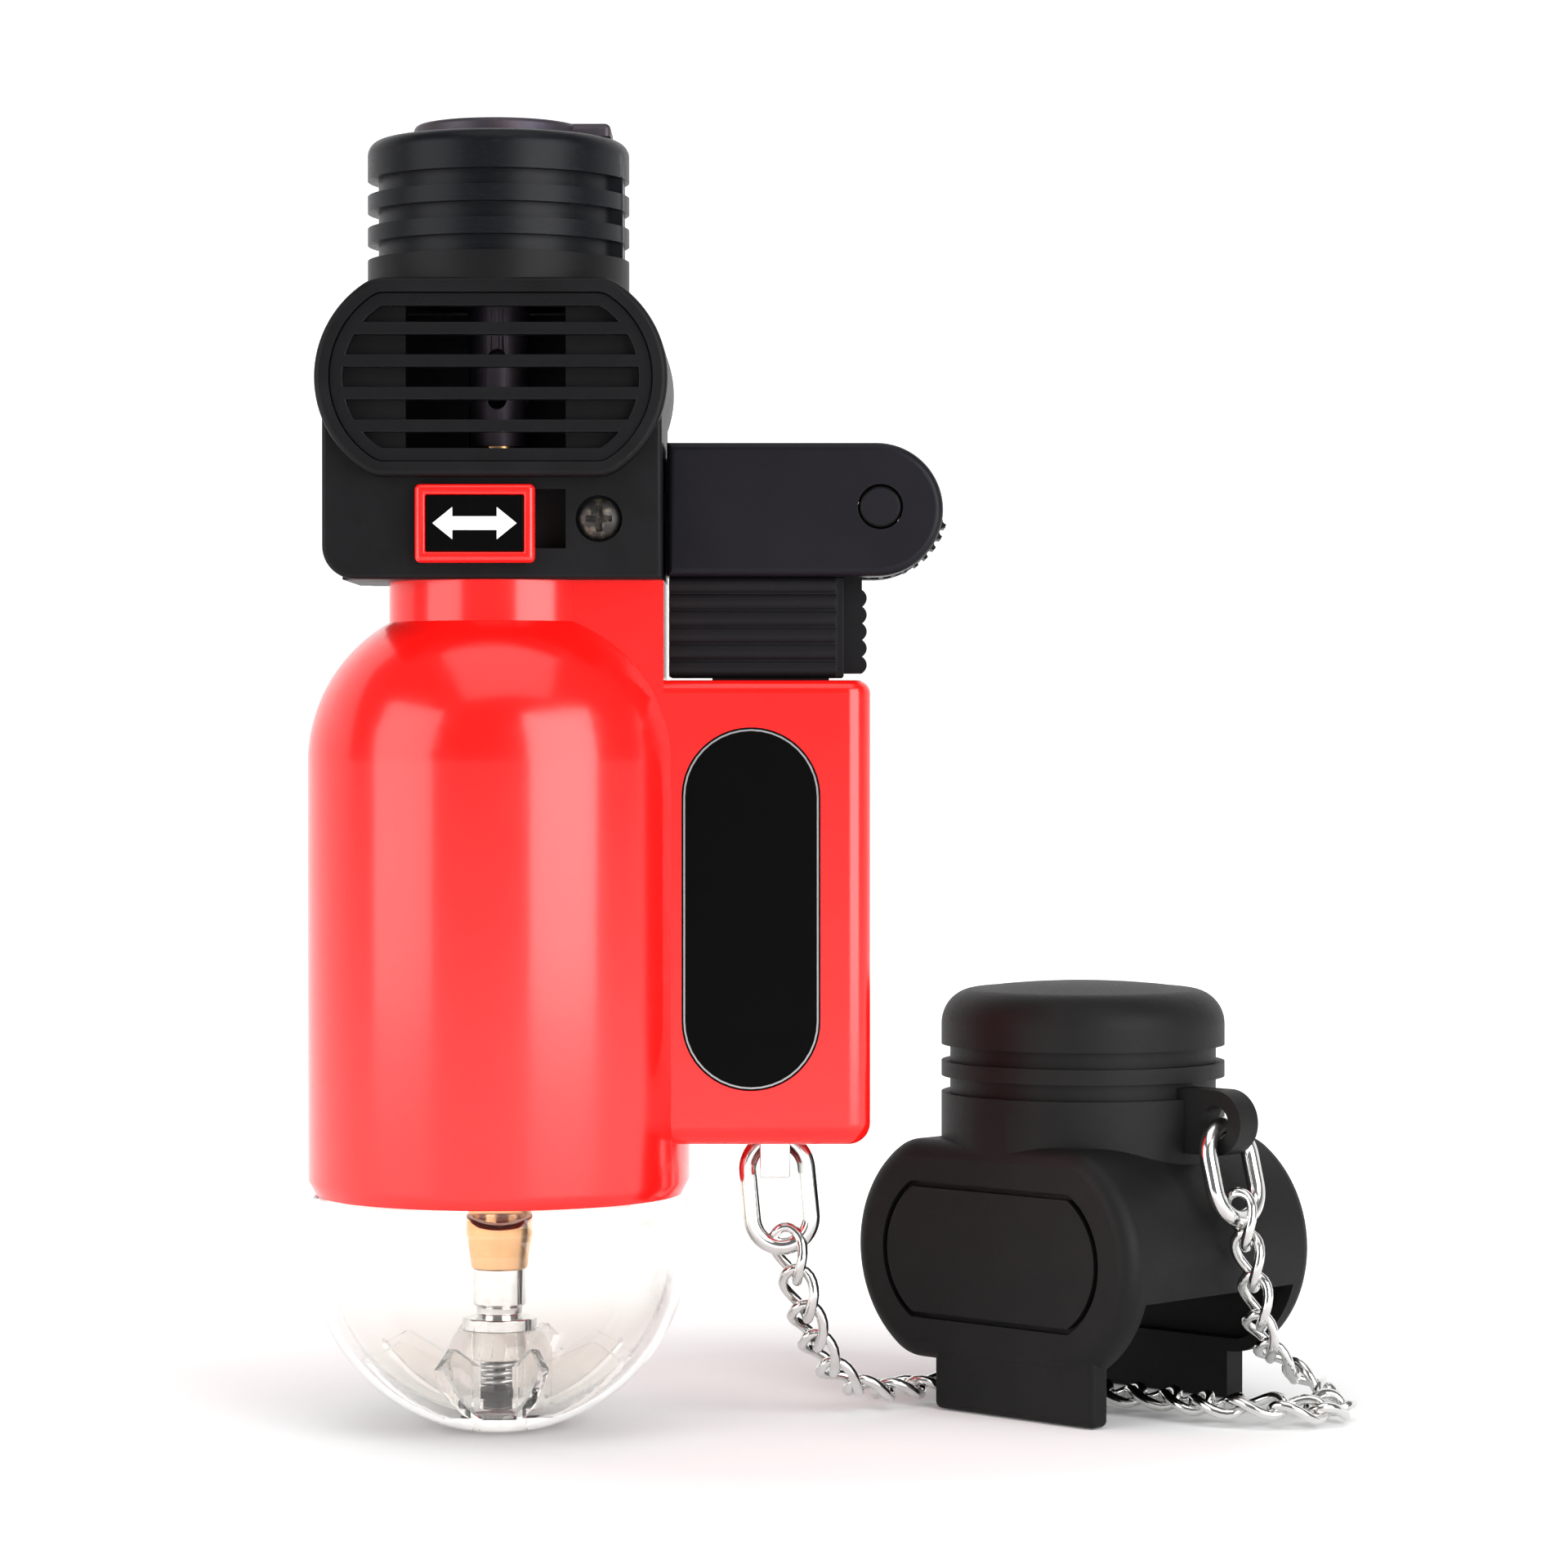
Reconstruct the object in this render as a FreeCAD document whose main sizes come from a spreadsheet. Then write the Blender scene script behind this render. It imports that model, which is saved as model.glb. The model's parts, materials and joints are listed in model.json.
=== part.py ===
import FreeCAD, Part
import math
import os
import Sketcher
from FreeCAD import Placement, Rotation, Vector

# A pocket butane torch, standing on the foot of its clear tank. Millimetres, +Z up along the
# flame, origin at the middle of the foot, +X towards the handle and -Y towards the front.

SIZES = {
    # clear fuel tank and the red body that stands on it
    "tank_radius": 15.85,
    "dome_centre": 15.4,
    "foot_radius": 3.75,
    "tank_wall": 1.5,
    "seam_height": 19.5,
    "seam_depth": 0.6,
    "shell_wall": 1.25,
    "sleeve_gap": 0.1,
    "tank_top": 53.0,
    "shoulder_height": 2.3,
    "shoulder_radius": 13.3,
    "neck_radius": 9.1,
    "neck_bore": 7.9,
    "neck_top": 14.9,
    # handle
    "handle_end": 30.8,
    "handle_foot": 23.9,
    "handle_top": 6.75,
    "handle_width": 13.0,
    "handle_edge": 2.0,
    "handle_wall": 1.2,
    "web_end": 13.85,
    "cavity_start": 16.7,
    "cavity_floor": 2.1,
    "well_floor": -4.15,
    "label_width": 11.4,
    "label_height": 29.8,
    "label_thick": 0.5,
    "label_centre": 21.0,
    "label_level": 0.325,
    # filler valve in the dome
    "boss_radius": 4.4,
    "boss_top_radius": 3.3,
    "boss_top": 8.1,
    "port_radius": 2.2,
    "port_depth": 1.6,
    "seat_thick": 0.8,
    "filler_radius": 2.2,
    "filler_top": 13.2,
    "filler_tip_radius": 1.4,
    "filler_stroke": 1.2,
    "cup_height": 3.8,
    "cup_radius": 2.8,
    # clear ribs in the dome
    "rib_low": 5.8,
    "rib_high": 7.5,
    "rib_reach": 8.6,
    "rib_thick": 0.8,
    # gas valve and flame adjuster
    "lid_flange": 1.4,
    "valve_radius": 3.0,
    "valve_top": -0.4,
    "stem_radius": 1.0,
    "stem_bore": 1.1,
    "adjuster_level": -2.7,
    "adjuster_thick": 1.6,
    "adjuster_reach": 12.6,
    # head
    "head_half_width": 13.8,
    "head_half_depth": 9.5,
    "head_wall": 1.4,
    "head_corner": 2.7,
    "duct_level": 16.3,
    "duct_half_width": 14.3,
    "duct_half_height": 8.05,
    "duct_half_depth": 11.0,
    "duct_end_radius": 9.1,
    "duct_corner": 3.0,
    "duct_wall": 1.2,
    "grille_rim": 1.1,
    "grille_thick": 1.3,
    "grille_setback": 0.35,
    "slat_pitch": 2.63,
    "slat_height": 1.0,
    "inner_wall": 0.8,
    "inner_wall_place": 8.8,
    "window_left": -7.0,
    "window_right": 6.0,
    # flame guard
    "guard_radius": 10.85,
    "guard_bore": 8.6,
    "guard_seam": 10.3,
    "guard_top": 0.6,
    "guard_lip": 1.2,
    "ring_pitch": 2.66,
    "ring_height": 1.35,
    "ring_depth": 0.9,
    "spigot_length": 1.8,
    "lead_box_reach": 10.4,
    "lead_box_width": 6.2,
    # burner
    "nozzle_radius": 2.0,
    "mixer_radius": 2.5,
    "mixer_top": -2.8,
    "burner_radius": 6.2,
    "burner_wall": 0.6,
    "collar_radius": 7.0,
    "collar_bore": 4.8,
    "collar_height": 1.9,
    "burner_top": 9.3,
    "tab_reach": 9.4,
    "tab_width": 6.0,
    "electrode_place": 7.55,
    "electrode_radius": 0.35,
    "lead_radius": 0.45,
    # lock slider and screw
    "slot_left": -4.8,
    "slot_right": 6.0,
    "slot_low": 2.5,
    "slot_high": 7.3,
    "slider_left": -6.15,
    "slider_right": 3.55,
    "slider_low": 1.3,
    "slider_high": 7.65,
    "slider_proud": 1.5,
    "slider_stroke": 2.4,
    "screw_place": 8.7,
    "screw_level": 4.9,
    "screw_head": 1.7,
    # thumb lever
    "lever_start": 14.1,
    "lever_low": 0.35,
    "lever_end_radius": 5.48,
    "lever_end_centre": 31.27,
    "lever_width": 12.0,
    "lever_stroke": 4.0,
    "pin_place": 31.6,
    "pin_level": 5.7,
    "pin_radius": 1.8,
    "block_start": 14.25,
    "block_end": 28.0,
    "block_low": 0.25,
    "block_width": 10.0,
    "rib_depth": 0.35,
    "cheek_reach": 4.0,
    "rib_count": 6,
    # safety catch
    "hub_radius": 5.05,
    "tooth_radius": 5.65,
    "catch_width": 4.8,
    "leg_start": 28.65,
    "leg_end": 30.15,
    "leg_low": 0.6,
    # gas lever in the head
    "gas_pivot": 3.0,
    "gas_low": 0.7,
    "gas_thick": 1.6,
    "gas_width": 4.0,
    "gas_pin_radius": 0.75,
    "gas_reach": 12.0,
    "tongue_low": 4.5,
    "tongue_thick": 2.2,
    # piezo igniter in the handle
    "piezo_place": 22.6,
    "piezo_radius": 4.3,
    "piezo_top": -7.9,
    "rod_radius": 3.0,
    "rod_flange": 4.4,
    "rod_flange_low": -1.5,
    # ring and staple under the handle
    "staple_place": 22.95,
    "staple_width": 2.5,
    "staple_span": 5.2,
    "staple_thick": 0.8,
    "staple_drop": 3.0,
    "ring_wire": 0.75,
    "ring_half_width": 3.2,
    "ring_half_height": 5.2,
    "ring_lean": 5.5,
    # curb chain
    "link_wire": 0.41,
    "link_half_length": 2.36,
    "link_half_width": 1.48,
    "link_twist": -45.0,
    # rubber cap
    "cap_place_x": 49.5,
    "cap_place_y": 14.0,
    "cap_turn": -44.0,
    "cap_wall": 1.1,
    "cap_fit": 0.25,
    "cap_drop": 2.8,
    "cap_dome": 1.1,
    "flap_left": -6.5,
    "flap_right": 11.3,
    "lug_level": 25.0,
    "lug_reach": 18.2,
    "lug_thick": 2.4,
    "lug_hole": 1.45,
    "cap_ring_half_width": 3.5,
    "cap_ring_half_height": 4.7,
    "cap_ring_lean": 14.0,
    # running clearances
    "slide_gap": 0.3,
    "pin_gap": 0.06,
    "fit_gap": 0.05,
}

# Levels that are given above another level, which carries them; the rest stand above the floor.
STANDS_ON = {
    "shoulder_height": "tank_top",
    "neck_top": "shoulder_height",
    "handle_top": "shoulder_height",
    "cavity_floor": "handle_foot",
    "well_floor": "handle_top",
    "adjuster_level": "neck_top",
    "valve_top": "neck_top",
    "duct_level": "neck_top",
    "guard_seam": "duct_level",
    "burner_top": "guard_seam",
    "guard_top": "burner_top",
    "mixer_top": "guard_seam",
    "slot_low": "neck_top",
    "slot_high": "neck_top",
    "slider_low": "neck_top",
    "slider_high": "neck_top",
    "screw_level": "neck_top",
    "lever_low": "neck_top",
    "pin_level": "lever_low",
    "block_low": "handle_top",
    "leg_low": "handle_top",
    "gas_low": "neck_top",
    "tongue_low": "gas_low",
    "piezo_top": "well_floor",
    "cap_drop": "neck_top",
    "rod_flange_low": "well_floor",
}

doc = FreeCAD.newDocument("ButaneTorch")
sheet = doc.addObject("Spreadsheet::Sheet", "Sizes")
for row, (alias, number) in enumerate(SIZES.items(), start=1):
    sheet.set(f"A{row}", alias)
    sheet.set(f"B{row}", str(number))
    sheet.setAlias(f"B{row}", alias)
doc.recompute()


class Size:
    """A number together with the sheet formula that it comes from."""

    def __init__(self, value, formula):
        self.value = value
        self.formula = formula

    def join(self, other, sign, work, swap=False):
        other = other if isinstance(other, Size) else Size(float(other), repr(float(other)))
        first, second = (other, self) if swap else (self, other)
        return Size(work(first.value, second.value), f"({first.formula} {sign} {second.formula})")

    def __add__(self, other):
        return self.join(other, "+", lambda a, b: a + b)

    def __radd__(self, other):
        return self.join(other, "+", lambda a, b: a + b, swap=True)

    def __sub__(self, other):
        return self.join(other, "-", lambda a, b: a - b)

    def __rsub__(self, other):
        return self.join(other, "-", lambda a, b: a - b, swap=True)

    def __mul__(self, other):
        return self.join(other, "*", lambda a, b: a * b)

    def __rmul__(self, other):
        return self.join(other, "*", lambda a, b: a * b, swap=True)

    def __truediv__(self, other):
        return self.join(other, "/", lambda a, b: a / b)

    def __neg__(self):
        return Size(-self.value, f"(-{self.formula})")


def root(size):
    return Size(math.sqrt(size.value), f"sqrt({size.formula})")


def plain(size):
    return size.value if isinstance(size, Size) else float(size)


class Table:
    """The sheet's sizes, each under its own name."""

    def __init__(self, numbers):
        for name, value in numbers.items():
            setattr(self, name, Size(value, f"Sizes.{name}"))


S = Table(SIZES)
for level, carrier in STANDS_ON.items():
    setattr(S, level, getattr(S, carrier) + getattr(S, level))


def bind(obj, prop, size):
    """Set a property, and tie it to the sheet when the size comes from there."""
    if isinstance(size, Size):
        obj.setExpression(prop, size.formula)
    elif "." not in prop:
        setattr(obj, prop, size)


def place(obj, x=0, y=0, z=0, turn=None):
    """Put a solid where it belongs, with an optional turn (axis, degrees)."""
    rotation = Rotation(turn[0], turn[1]) if turn else Rotation()
    obj.Placement = Placement(Vector(plain(x), plain(y), plain(z)), rotation)
    for axis, size in (("x", x), ("y", y), ("z", z)):
        if isinstance(size, Size):
            obj.setExpression(f"Placement.Base.{axis}", size.formula)
    return obj


# ---------------------------------------------------------------- ways of making a solid

def origin_plane(body, role):
    return next(f for f in body.Origin.OriginFeatures if f.Role == role)


def pin_point(sketch, geometry, end, x, y):
    """Hold one point of a sketch at a place given by two sizes."""
    for size, kind, axis in ((x, "DistanceX", -2), (y, "DistanceY", -1)):
        if not isinstance(size, Size) and size == 0:
            sketch.addConstraint(Sketcher.Constraint("PointOnObject", geometry, end, axis))
            continue
        index = sketch.addConstraint(Sketcher.Constraint(kind, -1, 1, geometry, end, plain(size)))
        if isinstance(size, Size):
            sketch.setExpression(f"Constraints[{index}]", size.formula)


def arc_edge(start, end, radius):
    """The minor arc from start to end. A positive radius turns left on the way."""
    ax, ay = start
    bx, by = end
    half = math.hypot(bx - ax, by - ay) / 2
    rise = math.sqrt(max(radius * radius - half * half, 0.0))
    side = 1 if radius > 0 else -1
    cx = (ax + bx) / 2 - side * rise * (by - ay) / (2 * half)
    cy = (ay + by) / 2 + side * rise * (bx - ax) / (2 * half)
    first = math.atan2(ay - cy, ax - cx)
    last = math.atan2(by - cy, bx - cx)
    if side < 0:
        first, last = last, first
    circle = Part.Circle(Vector(cx, cy, 0), Vector(0, 0, 1), abs(radius))
    return Part.ArcOfCircle(circle, first, last if last > first else last + 2 * math.pi)


def draw(sketch, points):
    """A closed outline. Each point is (x, y) or (x, y, radius of the arc that leads on)."""
    spots = [(plain(p[0]), plain(p[1])) for p in points]
    ends = []
    for i, point in enumerate(points):
        start, end = spots[i], spots[(i + 1) % len(points)]
        if len(point) == 3:
            radius = plain(point[2])
            index = sketch.addGeometry(arc_edge(start, end, radius), False)
            ends.append((index, 1, 2) if radius > 0 else (index, 2, 1))
        else:
            line = Part.LineSegment(Vector(*start, 0), Vector(*end, 0))
            ends.append((sketch.addGeometry(line, False), 1, 2))
    for i, (index, _, finish) in enumerate(ends):
        following, start, _ = ends[(i + 1) % len(ends)]
        sketch.addConstraint(Sketcher.Constraint("Coincident", index, finish, following, start))
    for point, (index, begin, _) in zip(points, ends):
        pin_point(sketch, index, begin, point[0], point[1])
        if len(point) == 3:
            radius = point[2]
            number = sketch.addConstraint(Sketcher.Constraint("Radius", index, abs(plain(radius))))
            if isinstance(radius, Size):
                size = radius if radius.value > 0 else -radius
                sketch.setExpression(f"Constraints[{number}]", size.formula)


def ring(sketch, x, y, radius):
    """A full circle in a sketch."""
    index = sketch.addGeometry(Part.Circle(Vector(plain(x), plain(y), 0), Vector(0, 0, 1), plain(radius)), False)
    pin_point(sketch, index, 3, x, y)
    number = sketch.addConstraint(Sketcher.Constraint("Radius", index, plain(radius)))
    if isinstance(radius, Size):
        sketch.setExpression(f"Constraints[{number}]", radius.formula)


def new_sketch(body, plane, offset=0):
    sketch = body.newObject("Sketcher::SketchObject", "Outline")
    sketch.AttachmentSupport = [(origin_plane(body, plane), "")]
    sketch.MapMode = "FlatFace"
    sketch.AttachmentOffset = Placement(Vector(0, 0, plain(offset)), Rotation())
    if isinstance(offset, Size):
        sketch.setExpression("AttachmentOffset.Base.z", offset.formula)
    return sketch


def turned(name, points):
    """A solid turned about the Z axis from its half outline (radius, height)."""
    body = doc.addObject("PartDesign::Body", name)
    sketch = new_sketch(body, "XZ_Plane")
    draw(sketch, points)
    turn = body.newObject("PartDesign::Revolution", "Turn")
    turn.Profile = sketch
    turn.ReferenceAxis = (sketch, ["V_Axis"])
    turn.Angle = 360
    body.Tip = turn
    return body


def across(name, points, width, holes=()):
    """A plate whose outline is seen from the front (x, z), as wide as width about Y = 0."""
    body = doc.addObject("PartDesign::Body", name)
    sketch = new_sketch(body, "XZ_Plane")
    draw(sketch, points)
    for hole in holes:
        ring(sketch, *hole)
    pad = body.newObject("PartDesign::Pad", "Pad")
    pad.Profile = sketch
    pad.Midplane = True
    bind(pad, "Length", width)
    body.Tip = pad
    return body


def upright(name, points, low, height, holes=()):
    """A plate whose outline is seen from above (x, y), from low up to low + height."""
    body = doc.addObject("PartDesign::Body", name)
    sketch = new_sketch(body, "XY_Plane", low)
    draw(sketch, points)
    for hole in holes:
        ring(sketch, *hole)
    pad = body.newObject("PartDesign::Pad", "Pad")
    pad.Profile = sketch
    bind(pad, "Length", height)
    body.Tip = pad
    return body


def rod(name, radius, length, x=0, y=0, z=0, along="z"):
    """A cylinder from the given point along +Z, +Y or +X."""
    solid = doc.addObject("Part::Cylinder", name)
    bind(solid, "Radius", radius)
    bind(solid, "Height", length)
    turns = {"z": None, "y": (Vector(1, 0, 0), -90), "x": (Vector(0, 1, 0), 90)}
    return place(solid, x, y, z, turns[along])


def block(name, x, y, z):
    """A box between pairs of limits along X, Y and Z."""
    solid = doc.addObject("Part::Box", name)
    for prop, (low, high) in (("Length", x), ("Width", y), ("Height", z)):
        bind(solid, prop, high - low)
    return place(solid, x[0], y[0], z[0])


def fuse(name, *solids):
    joined = doc.addObject("Part::MultiFuse", name)
    joined.Shapes = list(solids)
    joined.Refine = True
    return joined


def cut(name, base, *tools):
    tool = tools[0] if len(tools) == 1 else fuse(f"{name}_tools", *tools)
    result = doc.addObject("Part::Cut", name)
    result.Base = base
    result.Tool = tool
    result.Refine = True
    return result


def common(name, *solids):
    result = doc.addObject("Part::MultiCommon", name)
    result.Shapes = list(solids)
    return result


def soften(name, base, radius, chosen):
    """Round the edges of a solid that the test chooses."""
    doc.recompute()
    edges = [i for i, edge in enumerate(base.Shape.Edges, start=1) if chosen(edge)]
    result = doc.addObject("Part::Fillet", name)
    result.Base = base
    result.Edges = [(i, plain(radius), plain(radius)) for i in edges]
    return result


def round_edges(body, radius, chosen, name="Round"):
    """Round the edges of a body's last feature that the test chooses."""
    doc.recompute()
    tip = body.Tip
    names = [f"Edge{i}" for i, edge in enumerate(tip.Shape.Edges, start=1) if chosen(edge)]
    fillet = body.newObject("PartDesign::Fillet", name)
    fillet.Base = (tip, names)
    bind(fillet, "Radius", radius)
    body.Tip = fillet
    return body


def wire_path(points, share=0.45):
    """Straight runs joined by tangent arcs as large as their runs allow."""
    spots = [Vector(*(plain(c) for c in p)) for p in points]
    edges = []
    begin = spots[0]
    for before, corner, after in zip(spots, spots[1:], spots[2:]):
        arrive = (corner - before).normalize()
        leave = (after - corner).normalize()
        back = share * min((corner - before).Length, (after - corner).Length)
        start = corner - arrive * back
        end = corner + leave * back
        middle_way = (leave - arrive).normalize()
        half_turn = arrive.getAngle(leave) / 2
        radius = back / math.tan(half_turn)
        middle = corner + middle_way * (radius / math.cos(half_turn) - radius)
        edges.append(Part.LineSegment(begin, start).toShape())
        edges.append(Part.Arc(start, middle, end).toShape())
        begin = end
    edges.append(Part.LineSegment(begin, spots[-1]).toShape())
    return Part.Wire(edges)


def tube_along(name, path, radius):
    """A round wire swept along a path."""
    start = path.Edges[0]
    direction = start.tangentAt(start.FirstParameter)
    circle = Part.Wire(Part.Circle(start.valueAt(start.FirstParameter), direction, plain(radius)).toShape())
    solid = doc.addObject("Part::Feature", name)
    solid.Shape = path.makePipeShell([circle], True, True)
    return solid


def flat_sided(rings, closed):
    """A solid of flat facets through rings of corners, closed on itself or with two ends."""
    faces = []
    pairs = list(zip(rings, rings[1:] + rings[:1])) if closed else list(zip(rings, rings[1:]))
    for near, far in pairs:
        for k in range(len(near)):
            nxt = (k + 1) % len(near)
            for corner in ((near[k], near[nxt], far[nxt]), (near[k], far[nxt], far[k])):
                faces.append(Part.Face(Part.makePolygon([*corner, corner[0]])))
    if not closed:
        faces += [Part.Face(Part.makePolygon([*end, end[0]])) for end in (rings[0], rings[-1])]
    solid = Part.makeSolid(Part.makeShell(faces))
    if solid.Volume < 0:
        solid.reverse()
    return solid


def wire_ring(centre, outward, tangent, radius, flats=6):
    """The corners of a wire's section about one point of its middle line."""
    outward = (outward - tangent * outward.dot(tangent)).normalize()
    sideways = tangent.cross(outward)
    corners = []
    for k in range(flats):
        angle = 2 * math.pi * k / flats
        corners.append(centre + (outward * math.cos(angle) + sideways * math.sin(angle)) * radius)
    return corners


def coil(name, mean_radius, wire, low, high, turns, x=0):
    """A compression spring standing between two seats."""
    per_turn = 14
    count = int(per_turn * turns)
    climb = (high - low - 2 * wire) / count
    rings = []
    for i in range(count + 1):
        angle = 2 * math.pi * i / per_turn
        outward = Vector(math.cos(angle), math.sin(angle), 0)
        tangent = Vector(-math.sin(angle), math.cos(angle), climb * per_turn / (2 * math.pi * mean_radius))
        rings.append(wire_ring(outward * mean_radius + Vector(0, 0, climb * i), outward,
                               tangent.normalize(), wire))
    solid = doc.addObject("Part::Feature", name)
    solid.Shape = flat_sided(rings, False)
    return place(solid, x, 0, low + wire)


NODES = []


def node(name, solid, placed=None):
    """Give a finished solid its name as a piece of the torch."""
    solid.Label = name
    if placed is not None:
        solid.Placement = placed
    NODES.append(solid)
    return solid


def along_x(name, points, start, length):
    """A bar whose outline is seen along X (y, z), from start to start + length."""
    body = doc.addObject("PartDesign::Body", name)
    sketch = new_sketch(body, "YZ_Plane", start)
    draw(sketch, points)
    pad = body.newObject("PartDesign::Pad", "Pad")
    pad.Profile = sketch
    bind(pad, "Length", length)
    body.Tip = pad
    return body


# ---------------------------------------------------------------- clear fuel tank
# A blown bottle: the dome shows under the red body, the narrower sleeve stands inside it.

shell_bore = S.tank_radius - S.shell_wall
sleeve_radius = shell_bore - S.sleeve_gap
sleeve_bore = sleeve_radius - S.tank_wall
dome_bore = S.tank_radius - S.tank_wall
dome_reach = S.tank_radius - S.foot_radius
dome_round = (dome_reach * dome_reach + S.dome_centre * S.dome_centre) / (dome_reach * 2)
dome_middle = S.tank_radius - dome_round


def dome_level(radius, reach):
    """The level of the dome, drawn with a radius, at a distance from its axis."""
    return S.dome_centre - root(radius * radius - (reach - dome_middle) * (reach - dome_middle))


boss_root = dome_level(dome_round - S.tank_wall, S.boss_radius)
rim_round = 2.5
rim_inset = rim_round - S.seam_depth
rim_drop = root(rim_round * rim_round - rim_inset * rim_inset)
boss_round = 2.2
seat_top = S.port_depth + S.seat_thick
throat = S.filler_tip_radius + S.pin_gap
filler_bore = S.filler_radius + S.fit_gap

tank_wall = turned("tank_bottle", [
    (S.port_radius, 0),
    (S.foot_radius, 0, dome_round),
    (S.tank_radius, S.dome_centre),
    (S.tank_radius, S.seam_height - rim_drop, rim_round),
    (S.tank_radius - S.seam_depth, S.seam_height),
    (sleeve_radius, S.seam_height),
    (sleeve_radius, S.tank_top),
    (sleeve_bore, S.tank_top),
    (sleeve_bore, S.seam_height - 1.0),
    (dome_bore, S.dome_centre + 1.2),
    (dome_bore, S.dome_centre, -(dome_round - S.tank_wall)),
    (S.boss_radius, boss_root),
    (S.boss_radius, S.boss_top - boss_round, boss_round + 0.4),
    (S.boss_top_radius, S.boss_top),
    (filler_bore, S.boss_top),
    (filler_bore, seat_top),
    (throat, seat_top),
    (throat, S.port_depth),
    (S.port_radius, S.port_depth),
])
# Clear ribs spread from the boss to the dome's floor.
rib_middle = dome_round - S.tank_wall / 2
rib_start = S.boss_radius - 0.3
rib_drop = S.dome_centre - S.rib_low
rib_dish = turned("rib_dish", [
    (rib_start, dome_level(rib_middle, rib_start), rib_middle),
    (dome_middle + root(rib_middle * rib_middle - rib_drop * rib_drop), S.rib_low),
    (S.rib_reach, S.rib_high),
    (rib_start, S.rib_low - 0.4),
])
rib_plates = []
for i in range(4):
    plate = upright(f"rib_plate_{i}", [
        (-S.tank_radius, -S.rib_thick / 2), (S.tank_radius, -S.rib_thick / 2),
        (S.tank_radius, S.rib_thick / 2), (-S.tank_radius, S.rib_thick / 2),
    ], 0.2, S.rib_high)
    rib_plates.append(place(plate, turn=(Vector(0, 0, 1), 22.5 + 45 * i)))
tank_ribs = common("tank_ribs", rib_dish, fuse("rib_star", *rib_plates))
node("fuel_tank", fuse("fuel_tank", tank_wall, tank_ribs))

# ---------------------------------------------------------------- filler valve
# A steel valve pressed into the dome's boss, with a sprung stem and a brass cup on top.

spring_foot = seat_top + 0.05 + 0.6
spring_head = S.boss_top - 2.5
stem_slide = 0.8
node("filler_valve", turned("filler_valve", [
    (stem_slide, spring_head),
    (S.filler_radius, spring_head),
    (S.filler_radius, S.boss_top),
    (S.boss_top_radius - 0.2, S.boss_top),
    (S.boss_top_radius - 0.2, S.boss_top + 1.0),
    (S.filler_radius - 0.3, S.boss_top + 1.3),
    (S.filler_radius - 0.3, S.boss_top + 1.9),
    (S.filler_radius, S.boss_top + 2.1),
    (S.filler_radius, S.filler_top),
    (stem_slide, S.filler_top),
]))
cup_wall = 0.5
node("filler_cup", turned("filler_cup", [
    (stem_slide, S.filler_top),
    (S.filler_radius + 0.15, S.filler_top),
    (S.cup_radius, S.filler_top + S.cup_height),
    (S.cup_radius - cup_wall, S.filler_top + S.cup_height),
    (S.filler_radius + 0.15 - cup_wall, S.filler_top + 0.8),
    (stem_slide, S.filler_top + 0.8),
]))
stem_rod = 0.5
node("filler_stem", turned("filler_stem", [
    (0, S.port_depth),
    (S.filler_tip_radius, S.port_depth),
    (S.filler_tip_radius, seat_top + 0.05),
    (S.filler_radius - 0.25, seat_top + 0.05),
    (S.filler_radius - 0.25, spring_foot),
    (stem_rod, spring_foot),
    (stem_rod, S.filler_top + 1.0),
    (0, S.filler_top + 1.0),
]))
node("filler_spring", coil("filler_spring", 1.45, 0.25, spring_foot.value, spring_head.value, 3))

# ---------------------------------------------------------------- lid, gas valve and adjuster
lid_top = S.tank_top + S.lid_flange
node("tank_lid", turned("tank_lid", [
    (S.valve_radius + S.fit_gap, S.tank_top - 3),
    (sleeve_bore - S.fit_gap, S.tank_top - 3),
    (sleeve_bore - S.fit_gap, S.tank_top),
    (sleeve_radius, S.tank_top),
    (sleeve_radius, lid_top),
    (S.valve_radius + S.fit_gap, lid_top),
]))
collar_top = S.adjuster_level - S.fit_gap
node("gas_valve", turned("gas_valve", [
    (0, S.tank_top - 7),
    (S.valve_radius, S.tank_top - 7),
    (S.valve_radius, lid_top),
    (S.valve_radius + 1.6, lid_top),
    (S.valve_radius + 1.6, lid_top + 1.6),
    (S.valve_radius, lid_top + 1.6),
    (S.valve_radius, collar_top - 1.1),
    (S.valve_radius + 1.2, collar_top - 1.1),
    (S.valve_radius + 1.2, collar_top),
    (S.valve_radius, collar_top),
    (S.valve_radius, S.valve_top),
    (S.stem_bore, S.valve_top),
    (S.stem_bore, lid_top + 5.6),
    (0, lid_top + 5.6),
]))
gas_top = S.gas_low + S.gas_thick
nozzle_foot = S.tongue_low
node("valve_stem", turned("valve_stem", [
    (0, lid_top + 7.6),
    (S.stem_radius, lid_top + 7.6),
    (S.stem_radius, gas_top + 0.15),
    (S.stem_radius + 0.85, gas_top + 0.15),
    (S.stem_radius + 0.85, gas_top + 0.9),
    (S.stem_radius, gas_top + 0.9),
    (S.stem_radius, nozzle_foot + 1.6),
    (0, nozzle_foot + 1.6),
]))
adjuster_arm = 1.4
adjuster_pad = 2.3
ring_disc = rod("adjuster_disc", S.valve_radius + 3.2, S.adjuster_thick, z=S.adjuster_level)
ring_hole = rod("adjuster_hole", S.valve_radius + S.pin_gap, S.adjuster_thick + 2, z=S.adjuster_level - 1)
arm = block("adjuster_arm", (-adjuster_arm, adjuster_arm),
            (S.valve_radius + 1, S.adjuster_reach), (S.adjuster_level, S.adjuster_level + S.adjuster_thick))
pad = block("adjuster_pad", (-adjuster_pad, adjuster_pad),
            (S.adjuster_reach - 0.8, S.adjuster_reach + 0.8),
            (S.adjuster_level - 0.9, S.adjuster_level + S.adjuster_thick + 0.5))
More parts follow.
